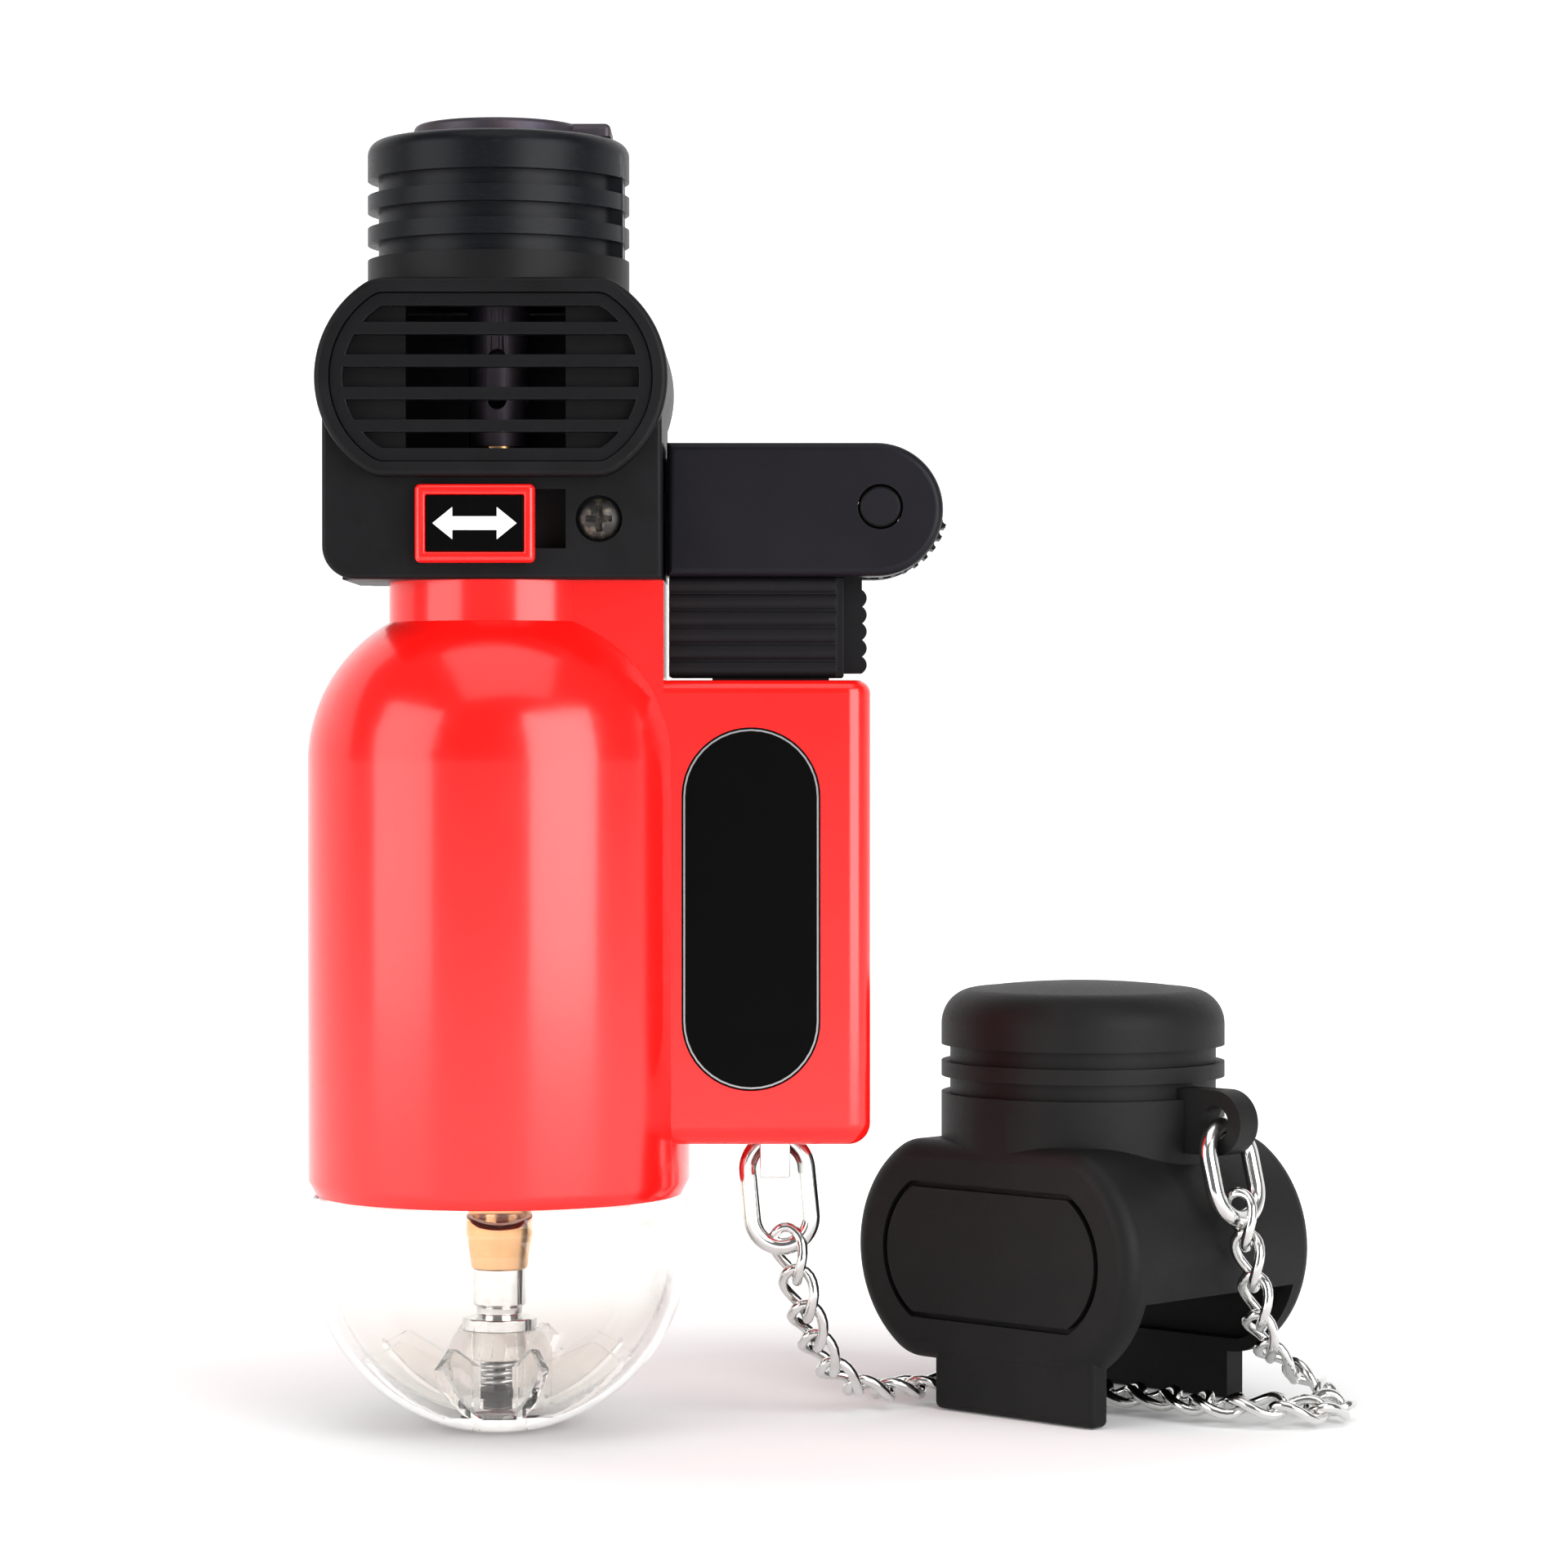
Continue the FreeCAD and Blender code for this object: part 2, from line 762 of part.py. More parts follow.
node("flame_adjuster", cut("flame_adjuster", fuse("adjuster_body", ring_disc, arm, pad), ring_hole))

# ---------------------------------------------------------------- red body
# Barrel, shoulder, neck, web and handle in one moulding, hollow for the tank and the igniter.

shoulder_inset = S.neck_radius - (S.tank_radius - S.shoulder_radius)
shoulder_top = S.shoulder_height + root(S.shoulder_radius * S.shoulder_radius
                                        - shoulder_inset * shoulder_inset)
half_handle = S.handle_width / 2
barrel = turned("barrel", [
    (0, S.seam_height),
    (S.tank_radius - S.seam_depth, S.seam_height),
    (S.tank_radius, S.seam_height + 1.2),
    (S.tank_radius, S.shoulder_height, S.shoulder_radius),
    (S.neck_radius, shoulder_top),
    (S.neck_radius, S.neck_top),
    (0, S.neck_top),
])
handle_root = 4.0
handle_bar = upright("handle_bar", [
    (handle_root, -half_handle),
    (S.handle_end - S.handle_edge, -half_handle, S.handle_edge),
    (S.handle_end, -half_handle + S.handle_edge),
    (S.handle_end, half_handle - S.handle_edge, S.handle_edge),
    (S.handle_end - S.handle_edge, half_handle),
    (handle_root, half_handle),
], S.handle_foot, S.handle_top - S.handle_foot)


def rim_at(level):
    """Chooses the edges of the handle's bar that lie at one level and aren't at its root."""
    def chosen(edge):
        bounds = edge.BoundBox
        return (abs(bounds.ZMin - level) < 1e-4 and abs(bounds.ZMax - level) < 1e-4
                and bounds.XMax > handle_root + 1e-3)
    return chosen


round_edges(handle_bar, S.handle_edge - 0.2, rim_at(plain(S.handle_foot)), "FootRound")
round_edges(handle_bar, S.handle_edge - 0.9, rim_at(plain(S.handle_top)), "TopRound")
web = block("web", (0.0, S.web_end), (-half_handle, half_handle),
            (S.shoulder_height, S.neck_top))
moulding = fuse("moulding", barrel, handle_bar, web)

bore_top = lid_top + 0.3
barrel_bore = turned("barrel_bore", [
    (0, S.seam_height - 1),
    (shell_bore, S.seam_height - 1),
    (shell_bore, bore_top),
    (S.neck_bore, bore_top + 7.3),
    (S.neck_bore, S.neck_top + 1),
    (0, S.neck_top + 1),
])
half_cavity = half_handle - S.handle_wall
well_half = S.block_width / 2 + S.slide_gap
catch_half = S.catch_width / 2 + S.slide_gap
cavity = block("cavity", (S.cavity_start, S.handle_end - 1.5), (-half_cavity, half_cavity),
               (S.cavity_floor, S.well_floor + 0.1))
well = block("well", (S.web_end, S.block_end + S.slide_gap), (-well_half, well_half),
             (S.well_floor, S.handle_top + 1))
cheek_way = block("cheek_way", (S.block_end, S.leg_start + S.slide_gap),
                  (-S.cheek_reach - S.slide_gap, S.cheek_reach + S.slide_gap),
                  (S.well_floor, S.handle_top + 1))
notch = block("notch", (S.block_end, S.handle_end + 1), (-catch_half, catch_half),
              (S.well_floor, S.handle_top + 1))


def stadium(inset):
    """The label's outline: straight sides and half-round ends."""
    half = S.label_width / 2 - inset
    straight = (S.label_height - S.label_width) / 2
    x, z = S.label_centre, (S.handle_foot + S.handle_top) / 2 + S.label_level
    return [
        (x + half, z - straight), (x + half, z + straight, half), (x, z + straight + half, half),
        (x - half, z + straight), (x - half, z - straight, half), (x, z - straight - half, half),
    ]


label_seat = place(across("label_seat", stadium(0), S.label_thick * 2), y=-half_handle)
half_span = S.staple_span / 2
half_staple = S.staple_width / 2
staple_x = (S.staple_place - half_staple, S.staple_place + half_staple)
staple_holes = [block(f"staple_hole_{side}", staple_x, limits, (S.handle_foot - 1, S.cavity_floor + 1))
                for side, limits in (("front", (-half_span, -half_span + S.staple_thick)),
                                     ("back", (half_span - S.staple_thick, half_span)))]
ring_dish = block("ring_dish", (S.staple_place - 2.4, S.staple_place + 2.4),
                  (-1.15, 1.15), (S.handle_foot - 1, S.handle_foot + 0.95))
gas_half = S.gas_width / 2 + S.slide_gap
gas_relief = block("gas_relief", (S.gas_reach - 5.5, S.gas_reach + 1.2), (-gas_half, gas_half),
                   (S.neck_top - 1.6, S.neck_top + 1))
slot_reach = S.neck_radius + 3
adjuster_slot = upright("adjuster_slot", [
    (0, 0), (slot_reach * 0.78, slot_reach), (-slot_reach * 0.78, slot_reach),
], S.adjuster_level - S.slide_gap, S.adjuster_thick + 2 * S.slide_gap)

# The ignition lead runs from the igniter's side up through the web and the head.
lead_route = [
    (S.piezo_place - 3.2, 3.2, 46.0), (17.75, 4.7, 46.6), (17.75, 4.7, 51.5), (11.5, 4.4, 58.8),
    (11.5, 4.4, 69.0), (S.electrode_place, 4.4, 76.5), (S.electrode_place, 1.6, 84.0),
    (S.electrode_place, 0, 90.5),
]
lead_path = wire_path(lead_route)
lead_way = tube_along("lead_way", wire_path(lead_route[1:]), S.lead_radius + 0.3)
node("body_shell", cut("body_shell", moulding, barrel_bore, cavity, well, cheek_way, notch, label_seat,
                       *staple_holes, ring_dish, gas_relief, adjuster_slot, lead_way))
label = across("label_plate", stadium(S.fit_gap), S.label_thick)
node("label_plate", place(label, y=-half_handle + S.label_thick / 2))

# ---------------------------------------------------------------- head housing
# A black moulding: the block over the neck, the oval air duct from front to back, and the
# round base of the flame guard on top.


def oval(inset):
    """The duct's outline, inset all round: flat top and bottom, full round ends."""
    half_height = S.duct_half_height - inset
    end_radius = S.duct_end_radius - inset
    corner = S.duct_corner - inset
    end_centre = S.duct_half_width - S.duct_end_radius
    rise = S.duct_half_height - S.duct_corner
    reach = S.duct_end_radius - S.duct_corner
    lean = root(reach * reach - rise * rise)
    flat = end_centre + lean
    side = end_centre + lean * end_radius / reach
    lift = rise * end_radius / reach
    z = S.duct_level
    return [
        (flat, z + half_height), (-flat, z + half_height, corner),
        (-side, z + lift, end_radius), (-side, z - lift, corner),
        (-flat, z - half_height), (flat, z - half_height, corner),
        (side, z - lift, end_radius), (side, z + lift, corner),
    ]


half_head = S.head_half_width
corner_level = S.neck_top + S.head_corner
block_top = S.duct_level - S.duct_half_height + 5.0
head_block = across("head_block", [
    (-half_head, corner_level, S.head_corner),
    (-half_head + S.head_corner, S.neck_top),
    (half_head, S.neck_top),
    (half_head, block_top),
    (-half_head, block_top),
], S.head_half_depth * 2)
duct = across("duct", oval(0), S.duct_half_depth * 2)


def at_faces(half_depth):
    """Chooses the edges that lie in the front or the back face of a plate."""
    def chosen(edge):
        bounds = edge.BoundBox
        flat = bounds.YMax - bounds.YMin < 1e-6
        return flat and abs(abs(bounds.YMin) - half_depth) < 1e-4
    return chosen


round_edges(duct, 0.5, at_faces(plain(S.duct_half_depth)))
round_edges(head_block, 0.4, at_faces(plain(S.head_half_depth)))
guard_root = rod("guard_root", S.guard_radius, S.guard_seam - S.duct_level, z=S.duct_level)
lead_box_half = S.lead_box_width / 2
lead_box = block("lead_box_low", (S.guard_bore - 1, S.lead_box_reach), (-lead_box_half, lead_box_half),
                 (S.duct_level + 4, S.guard_seam))
head_solid = fuse("head_solid", head_block, duct, guard_root, lead_box)

duct_bottom = S.duct_level - S.duct_half_height
frame_top = duct_bottom - 0.4
head_room = S.head_wall
room = block("head_room", (-half_head + head_room, half_head - head_room),
             (-S.head_half_depth + head_room, S.head_half_depth - head_room),
             (S.neck_top - 1, frame_top))
duct_way = across("duct_way", oval(S.duct_wall), S.duct_half_depth * 2 + 2)
guard_way = rod("guard_way", S.guard_bore, S.guard_seam - S.duct_level + 1, z=S.duct_level)
spigot_seat = rod("spigot_seat", S.guard_radius - S.ring_depth - 0.5, S.spigot_length + 1,
                  z=S.guard_seam - S.spigot_length)
nozzle_flange = 3.0
nozzle_way = rod("nozzle_way", nozzle_flange + 0.2, 6, z=frame_top - 1)
slider_slot = block("slider_slot", (S.slot_left, S.slot_right),
                    (-S.head_half_depth - 1, -S.head_half_depth + head_room + 0.5),
                    (S.slot_low, S.slot_high))
screw_shank = 1.0
screw_sink = 0.9
screw_way = rod("screw_way", screw_shank + S.fit_gap, head_room + 1,
                S.screw_place, -S.head_half_depth - 0.5, S.screw_level, "y")
screw_dish = rod("screw_dish", S.screw_head + 0.2, 1 + screw_sink,
                 S.screw_place, -S.head_half_depth - 1, S.screw_level, "y")
tongue_half = S.gas_width / 2
tongue_slot = block("tongue_slot", (half_head - head_room - 1, half_head + 1),
                    (-tongue_half - S.slide_gap, tongue_half + S.slide_gap),
                    (S.tongue_low - S.lever_stroke - S.slide_gap,
                     S.tongue_low + S.tongue_thick + S.slide_gap))
# A rib behind the arm guides it and closes the gap beside it.
guide_rib = block("guide_rib", (half_head - 0.5, half_head + 0.75),
                  (S.lever_width / 2 + 0.4, S.head_half_depth - 0.8),
                  (S.lever_low + 0.5, S.lever_low + S.lever_end_radius * 2 - 0.6))
# A wall behind the front grille leaves a window in front of the burner.
inner_wall = place(across("inner_wall", oval(S.duct_wall - 0.2), S.inner_wall), y=-S.inner_wall_place)
window = block("window", (S.window_left, S.window_right), (-S.head_half_depth, -S.head_half_depth + 3),
               (S.duct_level - S.duct_half_height, S.duct_level + S.duct_half_height))
head_open = cut("head_open", head_solid, room, duct_way, guard_way, spigot_seat, nozzle_way,
                slider_slot, screw_way, screw_dish, tongue_slot)
pillar_top = S.duct_level + 6.5
pillar = block("pillar", (S.electrode_place - 1.9, S.electrode_place + 1.9),
               (-2.6, 2.6), (duct_bottom + 0.6, pillar_top))
lead_bore = tube_along("lead_bore", wire_path(lead_route[4:]), S.lead_radius + 0.3)
electrode_bore = rod("electrode_bore", S.electrode_radius + 0.2, 4, S.electrode_place, 0, pillar_top - 3)
node("head_shell", cut("head_shell", fuse("head_with_pillar", head_open, pillar, guide_rib,
                                            cut("inner_screen", inner_wall, window)), lead_bore,
                       electrode_bore))

# The two grilles are oval plates with level slats, set into the ends of the duct. The rear one
# has a closed back.


def grille(name, side, closed=False):
    rim = cut(f"{name}_rim", across(f"{name}_plate", oval(S.duct_wall + S.fit_gap), S.grille_thick),
              across(f"{name}_window", oval(S.duct_wall + S.grille_rim), S.grille_thick + 1))
    slats = []
    for i in range(4):
        level = S.duct_level + (i - 1.5) * S.slat_pitch
        slats.append(block(f"{name}_slat_{i}", (-S.duct_half_width, S.duct_half_width),
                           (-S.grille_thick / 2, S.grille_thick / 2),
                           (level - S.slat_height / 2, level + S.slat_height / 2)))
    inside = across(f"{name}_field", oval(S.duct_wall + S.grille_rim / 2), S.grille_thick)
    field = common(f"{name}_slats", fuse(f"{name}_bars", *slats), inside)
    layers = [rim, field]
    if closed:
        back = across(f"{name}_back", oval(S.duct_wall + S.grille_rim / 2), S.grille_thick / 2)
        layers.append(place(back, y=-S.grille_thick / 4))
    whole = fuse(name, *layers)
    depth = S.duct_half_depth - S.grille_setback - S.grille_thick / 2
    return node(name, place(whole, y=depth * side))


grille("front_grille", -1)
grille("rear_grille", 1, closed=True)

# ---------------------------------------------------------------- flame guard
# A ringed black tube that plugs into the head.

guard_outline = [
    (S.guard_bore, S.guard_seam - S.spigot_length),
    (S.guard_radius - S.ring_depth - 0.5 - S.fit_gap, S.guard_seam - S.spigot_length),
    (S.guard_radius - S.ring_depth - 0.5 - S.fit_gap, S.guard_seam),
    (S.guard_radius - S.ring_depth, S.guard_seam),
]
ring_count = 2
for i in range(ring_count):
    foot = S.guard_seam + (S.ring_pitch - S.ring_height) + i * S.ring_pitch
    guard_outline += [
        (S.guard_radius - S.ring_depth, foot), (S.guard_radius, foot),
        (S.guard_radius, foot + S.ring_height), (S.guard_radius - S.ring_depth, foot + S.ring_height),
    ]
band = S.guard_seam + ring_count * S.ring_pitch + (S.ring_pitch - S.ring_height)
guard_outline += [
    (S.guard_radius - S.ring_depth, band), (S.guard_radius, band),
    (S.guard_radius, S.guard_top - S.guard_lip, S.guard_lip),
    (S.guard_radius - S.guard_lip, S.guard_top), (S.guard_bore, S.guard_top),
]
guard_ring = turned("guard_ring", guard_outline)
guard_box = block("lead_box_high", (S.guard_bore + 0.6, S.lead_box_reach),
                  (-lead_box_half, lead_box_half), (S.guard_seam, band + 0.5))
node("flame_guard", fuse("flame_guard", guard_ring, guard_box))

# ---------------------------------------------------------------- burner
# Carrier in the head, brass nozzle, mixing tube with its burner cup, flame plate and collar.

carrier_gap = 0.15
carrier_x = half_head - head_room - carrier_gap
carrier_y = S.head_half_depth - head_room - carrier_gap
carrier_block = block("carrier_block", (-carrier_x, carrier_x), (-carrier_y, carrier_y),
                      (S.neck_top, frame_top - carrier_gap))
lever_room = block("lever_room", (S.gas_pivot - 6.5, carrier_x + 1), (-gas_half, gas_half),
                   (S.neck_top - 1, gas_top + 1.9))
tongue_room = block("tongue_room", (S.gas_reach - 3.2, carrier_x + 1), (-gas_half, gas_half),
                    (S.neck_top - 1, frame_top + 1))
stem_way = rod("stem_way", S.stem_bore + S.fit_gap, 3, z=nozzle_foot - 2)
stem_room = rod("stem_room", S.stem_radius + 1.6, gas_top + 2.0 - S.neck_top + 1, z=S.neck_top - 1)
nozzle_seat = rod("nozzle_seat", S.nozzle_radius + S.fit_gap, 4, z=nozzle_foot)
slider_room = block("slider_room", (S.slot_left - 0.2, S.slot_right + 0.2),
                    (-carrier_y - 1, -carrier_y + 2.3), (S.slot_low - 0.2, S.slot_high + 0.2))
screw_thread = rod("screw_thread", screw_shank + S.fit_gap, 6, S.screw_place, -carrier_y - 1,
                   S.screw_level, "y")
pin_length = S.gas_width + 4
gas_pin_way = rod("gas_pin_way", S.gas_pin_radius + S.fit_gap, pin_length + 0.2, S.gas_pivot,
                  -pin_length / 2 - 0.1, S.gas_low + S.gas_thick / 2, "y")
head_lead_way = tube_along("head_lead_way", wire_path(lead_route[2:]), S.lead_radius + 0.3)
node("burner_carrier", cut("burner_carrier", carrier_block, lever_room, tongue_room, stem_room, stem_way,
                           nozzle_seat, slider_room, screw_thread, gas_pin_way, head_lead_way))
nozzle_bore = S.stem_bore
node("gas_nozzle", turned("gas_nozzle", [
    (nozzle_bore, nozzle_foot),
    (S.nozzle_radius, nozzle_foot),
    (S.nozzle_radius, frame_top - carrier_gap),
    (nozzle_flange, frame_top - carrier_gap),
    (nozzle_flange, frame_top + 1.4),
    (S.nozzle_radius, frame_top + 1.6),
    (S.nozzle_radius, frame_top + 5.6),
    (0, frame_top + 5.6),
    (0, frame_top + 1.8),
    (nozzle_bore, frame_top + 1.8),
]))
mixer_foot = frame_top + 3.4
burner_foot = S.mixer_top + 2.2
tube = turned("mixing_tube", [
    (S.nozzle_radius + S.fit_gap, mixer_foot),
    (S.mixer_radius, mixer_foot),
    (S.mixer_radius, S.mixer_top),
    (S.burner_radius, burner_foot),
    (S.burner_radius, S.burner_top),
    (S.burner_radius - S.burner_wall, S.burner_top),
    (S.burner_radius - S.burner_wall, burner_foot + 0.4),
    (S.nozzle_radius + S.fit_gap, S.mixer_top + 0.2),
])
air_holes = []
for level in (frame_top + 7.2, frame_top + 10.6):
    air_holes.append(rod("air_hole_x", 0.8, S.mixer_radius * 2 + 2, -S.mixer_radius - 1, 0, level, "x"))
    air_holes.append(rod("air_hole_y", 0.8, S.mixer_radius * 2 + 2, 0, -S.mixer_radius - 1, level, "y"))
spark_level = S.burner_top - 1.3
spark_hole = rod("spark_hole", S.electrode_radius + 0.25, 3, S.burner_radius - 2, 0, spark_level, "x")
node("burner_tube", cut("burner_tube", tube, *air_holes, spark_hole))
plate_radius = S.burner_radius - S.burner_wall - S.fit_gap
plate_low = S.burner_top - 3.2
plate_disc = rod("plate_disc", plate_radius, 0.8, z=plate_low)
flame_holes = []
for count, circle in ((1, 0.0), (6, 1.9), (12, 3.8)):
    for i in range(count):
        angle = 2 * math.pi * i / count
        flame_holes.append(rod("flame_hole", 0.55, 2, circle * math.cos(angle),
                               circle * math.sin(angle), plate_low - 0.5))
node("flame_plate", cut("flame_plate", plate_disc, *flame_holes))
collar_top_level = S.burner_top + S.collar_height
collar_disc = turned("collar_disc", [
    (S.collar_bore, S.burner_top),
    (S.collar_radius, S.burner_top),
    (S.collar_radius, collar_top_level - 0.4, 0.4),
    (S.collar_radius - 0.4, collar_top_level),
    (S.collar_bore + 0.3, collar_top_level),
    (S.collar_bore, collar_top_level - 0.3),
])
tab_half = S.tab_width / 2
tab = block("collar_tab", (S.collar_bore + 0.6, S.tab_reach), (-tab_half, tab_half),
            (S.guard_top + 0.2, collar_top_level))
tab_soft = soften("tab_soft", tab, 0.5, lambda e: e.BoundBox.ZMin > 107.9 or (
    e.BoundBox.XMin > 9 and e.BoundBox.ZMax - e.BoundBox.ZMin > 0.5))
node("burner_collar", fuse("burner_collar", collar_disc, tab_soft))
insulator_low = pillar_top
insulator_bore = rod("insulator_bore", S.electrode_radius + S.fit_gap,
                     spark_level + 4 - insulator_low, S.electrode_place, 0, insulator_low - 2)
insulator = cut("insulator", rod("insulator_rod", 0.85, spark_level - 1.7 - insulator_low,
                                 S.electrode_place, 0, insulator_low), insulator_bore)
node("insulator", insulator)
lead_end = 90.6
node("electrode", tube_along("electrode", wire_path([
    (S.electrode_place, 0, lead_end), (S.electrode_place, 0, spark_level),
    (S.electrode_place - 4.4, 0, spark_level)], 0.25), S.electrode_radius))
node("ignition_lead", tube_along("ignition_lead", lead_path, S.lead_radius))

# ---------------------------------------------------------------- lock slider and screw
slider_back = -S.head_half_depth - 0.1
slider_front = -S.head_half_depth - S.slider_proud
frame_box = block("slider_frame", (S.slider_left, S.slider_right), (slider_front, slider_back),
                  (S.slider_low, S.slider_high))
frame_soft = soften("slider_soft", frame_box, 0.45, lambda e: e.BoundBox.YMin < plain(slider_front) + 0.1)
border = 0.85
inlay_depth = 0.5
inlay_x = (S.slider_left + border, S.slider_right - border)
inlay_z = (S.slider_low + border, S.slider_high - border)
inlay_seat = block("inlay_seat", inlay_x, (slider_front - 1, slider_front + inlay_depth), inlay_z)
slider_tongue = block("slider_tongue", (S.slot_left + 0.3, S.slot_right - S.slider_stroke - 0.5),
                      (slider_back - 0.3, -carrier_y + 1.9), (S.slot_low + 0.3, S.slot_high - 0.3))
node("lock_slider", cut("lock_slider", fuse("slider_solid", frame_soft, slider_tongue), inlay_seat))
node("slider_plate", block("slider_plate", (inlay_x[0] + S.fit_gap, inlay_x[1] - S.fit_gap),
                           (slider_front + 0.15, slider_front + inlay_depth),
                           (inlay_z[0] + S.fit_gap, inlay_z[1] - S.fit_gap)))
screw_seat = -S.head_half_depth + screw_sink
screw_solid = turned("screw_solid", [
    (0, -4.4), (screw_shank, -4.4),
    (screw_shank, 0), (S.screw_head, 0), (S.screw_head, 0.5, 2.2),
    (0, 1.15),
])
cross = [block("cross_slot", (-a, a), (-b, b),
               (0.45, 2.0)) for a, b in ((1.05, 0.26), (0.26, 1.05))]
head_screw = cut("head_screw", screw_solid, *cross)
node("head_screw", place(head_screw, S.screw_place, screw_seat, S.screw_level, (Vector(1, 0, 0), 90)))

# ---------------------------------------------------------------- thumb lever
# A black arm that slides down beside the head, with a ribbed plunger block in the handle's well.

half_lever = S.lever_width / 2
end_level = S.lever_low + S.lever_end_radius
lever_high = S.lever_low + S.lever_end_radius * 2
arm_plate = across("arm_plate", [
    (S.lever_start, S.lever_low),
    (S.lever_end_centre, S.lever_low, S.lever_end_radius),
    (S.lever_end_centre + S.lever_end_radius, end_level, S.lever_end_radius),
    (S.lever_end_centre, lever_high),
    (S.lever_start, lever_high),
], S.lever_width)
round_edges(arm_plate, 0.7, at_faces(plain(half_lever)))
tongue = block("tongue", (S.gas_reach - 1.8, S.lever_start + 1), (-tongue_half, tongue_half),
               (S.tongue_low, S.tongue_low + S.tongue_thick))
hub_hollow = rod("hub_hollow", S.hub_radius - 0.55, catch_half * 2, S.pin_place, -catch_half,
                 S.pin_level, "y")
catch_room = block("catch_room", (S.leg_start - S.slide_gap, S.handle_end + 8),
                   (-catch_half, catch_half), (S.lever_low - 1, S.pin_level + 0.7))
pin_hole = rod("pin_hole", S.pin_radius + S.fit_gap, S.lever_width + 2, S.pin_place,
               -half_lever - 1, S.pin_level, "y")
node("thumb_lever", cut("thumb_lever", fuse("arm_with_tongue", arm_plate, tongue), hub_hollow,
                        catch_room, pin_hole))
node("lever_pin", rod("lever_pin", S.pin_radius, S.lever_width, S.pin_place, -half_lever,
                      S.pin_level, "y"))

half_block = S.block_width / 2
rib_pitch = (S.lever_low - S.block_low) / S.rib_count
rib_half = half_block - S.rib_depth
rib_radius = rib_pitch * rib_pitch / (S.rib_depth * 8) + S.rib_depth / 2
ribs = [(-rib_half, S.block_low)]
rib_count = int(SIZES["rib_count"])
for i in range(rib_count):
    ribs.append((rib_half, S.block_low + rib_pitch * i, rib_radius))
ribs.append((rib_half, S.lever_low))
for i in range(rib_count):
    ribs.append((-rib_half, S.lever_low - rib_pitch * i, rib_radius))
ribbed = along_x("ribbed_block", ribs, S.block_start,
                 S.block_end - S.block_start)
foot_stem = block("plunger_stem", (S.piezo_place - 4.8, S.piezo_place + 4.8),
                  (-4.3, 4.3), (S.well_floor, S.block_low))
cheeks = [block("cheek", (S.block_end - 0.2, S.leg_start - 0.03), sides, (S.block_low, S.lever_low))
          for sides in ((-S.cheek_reach, -catch_half), (catch_half, S.cheek_reach))]
node("lever_plunger", fuse("lever_plunger", ribbed, foot_stem, *cheeks))

# ---------------------------------------------------------------- safety catch
# A hub with thumb teeth, turning on the lever's pin, and a ribbed leg down to the handle.

half_catch = S.catch_width / 2
hub_inner = S.hub_radius - 0.85
hub = rod("hub", hub_inner, S.catch_width, S.pin_place, -half_catch, S.pin_level, "y")
tooth_disc = rod("tooth_disc", S.tooth_radius, S.catch_width, S.pin_place, -half_catch,
                 S.pin_level, "y")
tooth_field = block("tooth_field", (S.pin_place - 1.6, S.pin_place + 7), (-half_catch, half_catch),
                    (S.pin_level - 7, S.pin_level - 0.9))
gullets = []
tooth_step = 10.5
for i in range(10):
    angle = math.radians(-104 + tooth_step * i)
    gullets.append(rod("gullet", 0.36, S.catch_width + 2,
                       S.pin_place + S.tooth_radius * math.cos(angle), -half_catch - 1,
                       S.pin_level + S.tooth_radius * math.sin(angle), "y"))
teeth = cut("teeth", common("tooth_sector", tooth_disc, tooth_field), *gullets)
leg_ribs = 5
leg_pitch = (S.lever_low - 1.0 - S.leg_low) / leg_ribs
leg_bulge = 0.4
leg_radius = leg_pitch * leg_pitch / (leg_bulge * 8) + leg_bulge / 2
leg_outline = [(S.leg_start, S.leg_low)]
for i in range(leg_ribs):
    leg_outline.append((S.leg_end, S.leg_low + leg_pitch * i, leg_radius))
leg_outline += [(S.leg_end, S.lever_low - 1.0), (S.leg_end, S.pin_level - 2.0),
                (S.leg_start, S.pin_level - 2.0)]
leg = across("catch_leg", leg_outline, S.catch_width - 0.6)
axle_hole = rod("axle_hole", S.pin_radius + S.pin_gap, S.catch_width + 2, S.pin_place,
                -half_catch - 1, S.pin_level, "y")
spring_pocket = rod("spring_pocket", 3.2, half_catch - 0.9, S.pin_place, 0.9,
                    S.pin_level, "y")
node("safety_catch", cut("safety_catch", fuse("catch_solid", hub, teeth, leg), axle_hole,
                         spring_pocket))
catch_coil = coil("catch_spring", 2.5, 0.25, 0.95, 2.35, 2.0)
node("catch_spring", place(catch_coil, S.pin_place, 0.95 + 0.25, S.pin_level, (Vector(1, 0, 0), -90)))

# ---------------------------------------------------------------- gas lever in the head
gas_bar = block("gas_bar", (S.gas_pivot - 5.4, S.gas_reach), (-tongue_half, tongue_half),
                (S.gas_low, gas_top))
fork = block("fork", (S.gas_pivot - 6.4, S.stem_radius + 0.35),
             (-S.stem_radius - 0.2, S.stem_radius + 0.2), (S.gas_low - 1, gas_top + 1))
gas_hole = rod("gas_hole", S.gas_pin_radius + S.pin_gap, S.gas_width + 2, S.gas_pivot,
               -tongue_half - 1, S.gas_low + S.gas_thick / 2, "y")
gas_hub = rod("gas_hub", S.gas_pin_radius + 0.35, S.gas_width, S.gas_pivot, -tongue_half,
              S.gas_low + S.gas_thick / 2, "y")
node("gas_lever", cut("gas_lever", fuse("gas_solid", gas_bar, gas_hub), fork, gas_hole))
node("gas_lever_pin", rod("gas_lever_pin", S.gas_pin_radius, pin_length, S.gas_pivot,
                          -pin_length / 2, S.gas_low + S.gas_thick / 2, "y"))

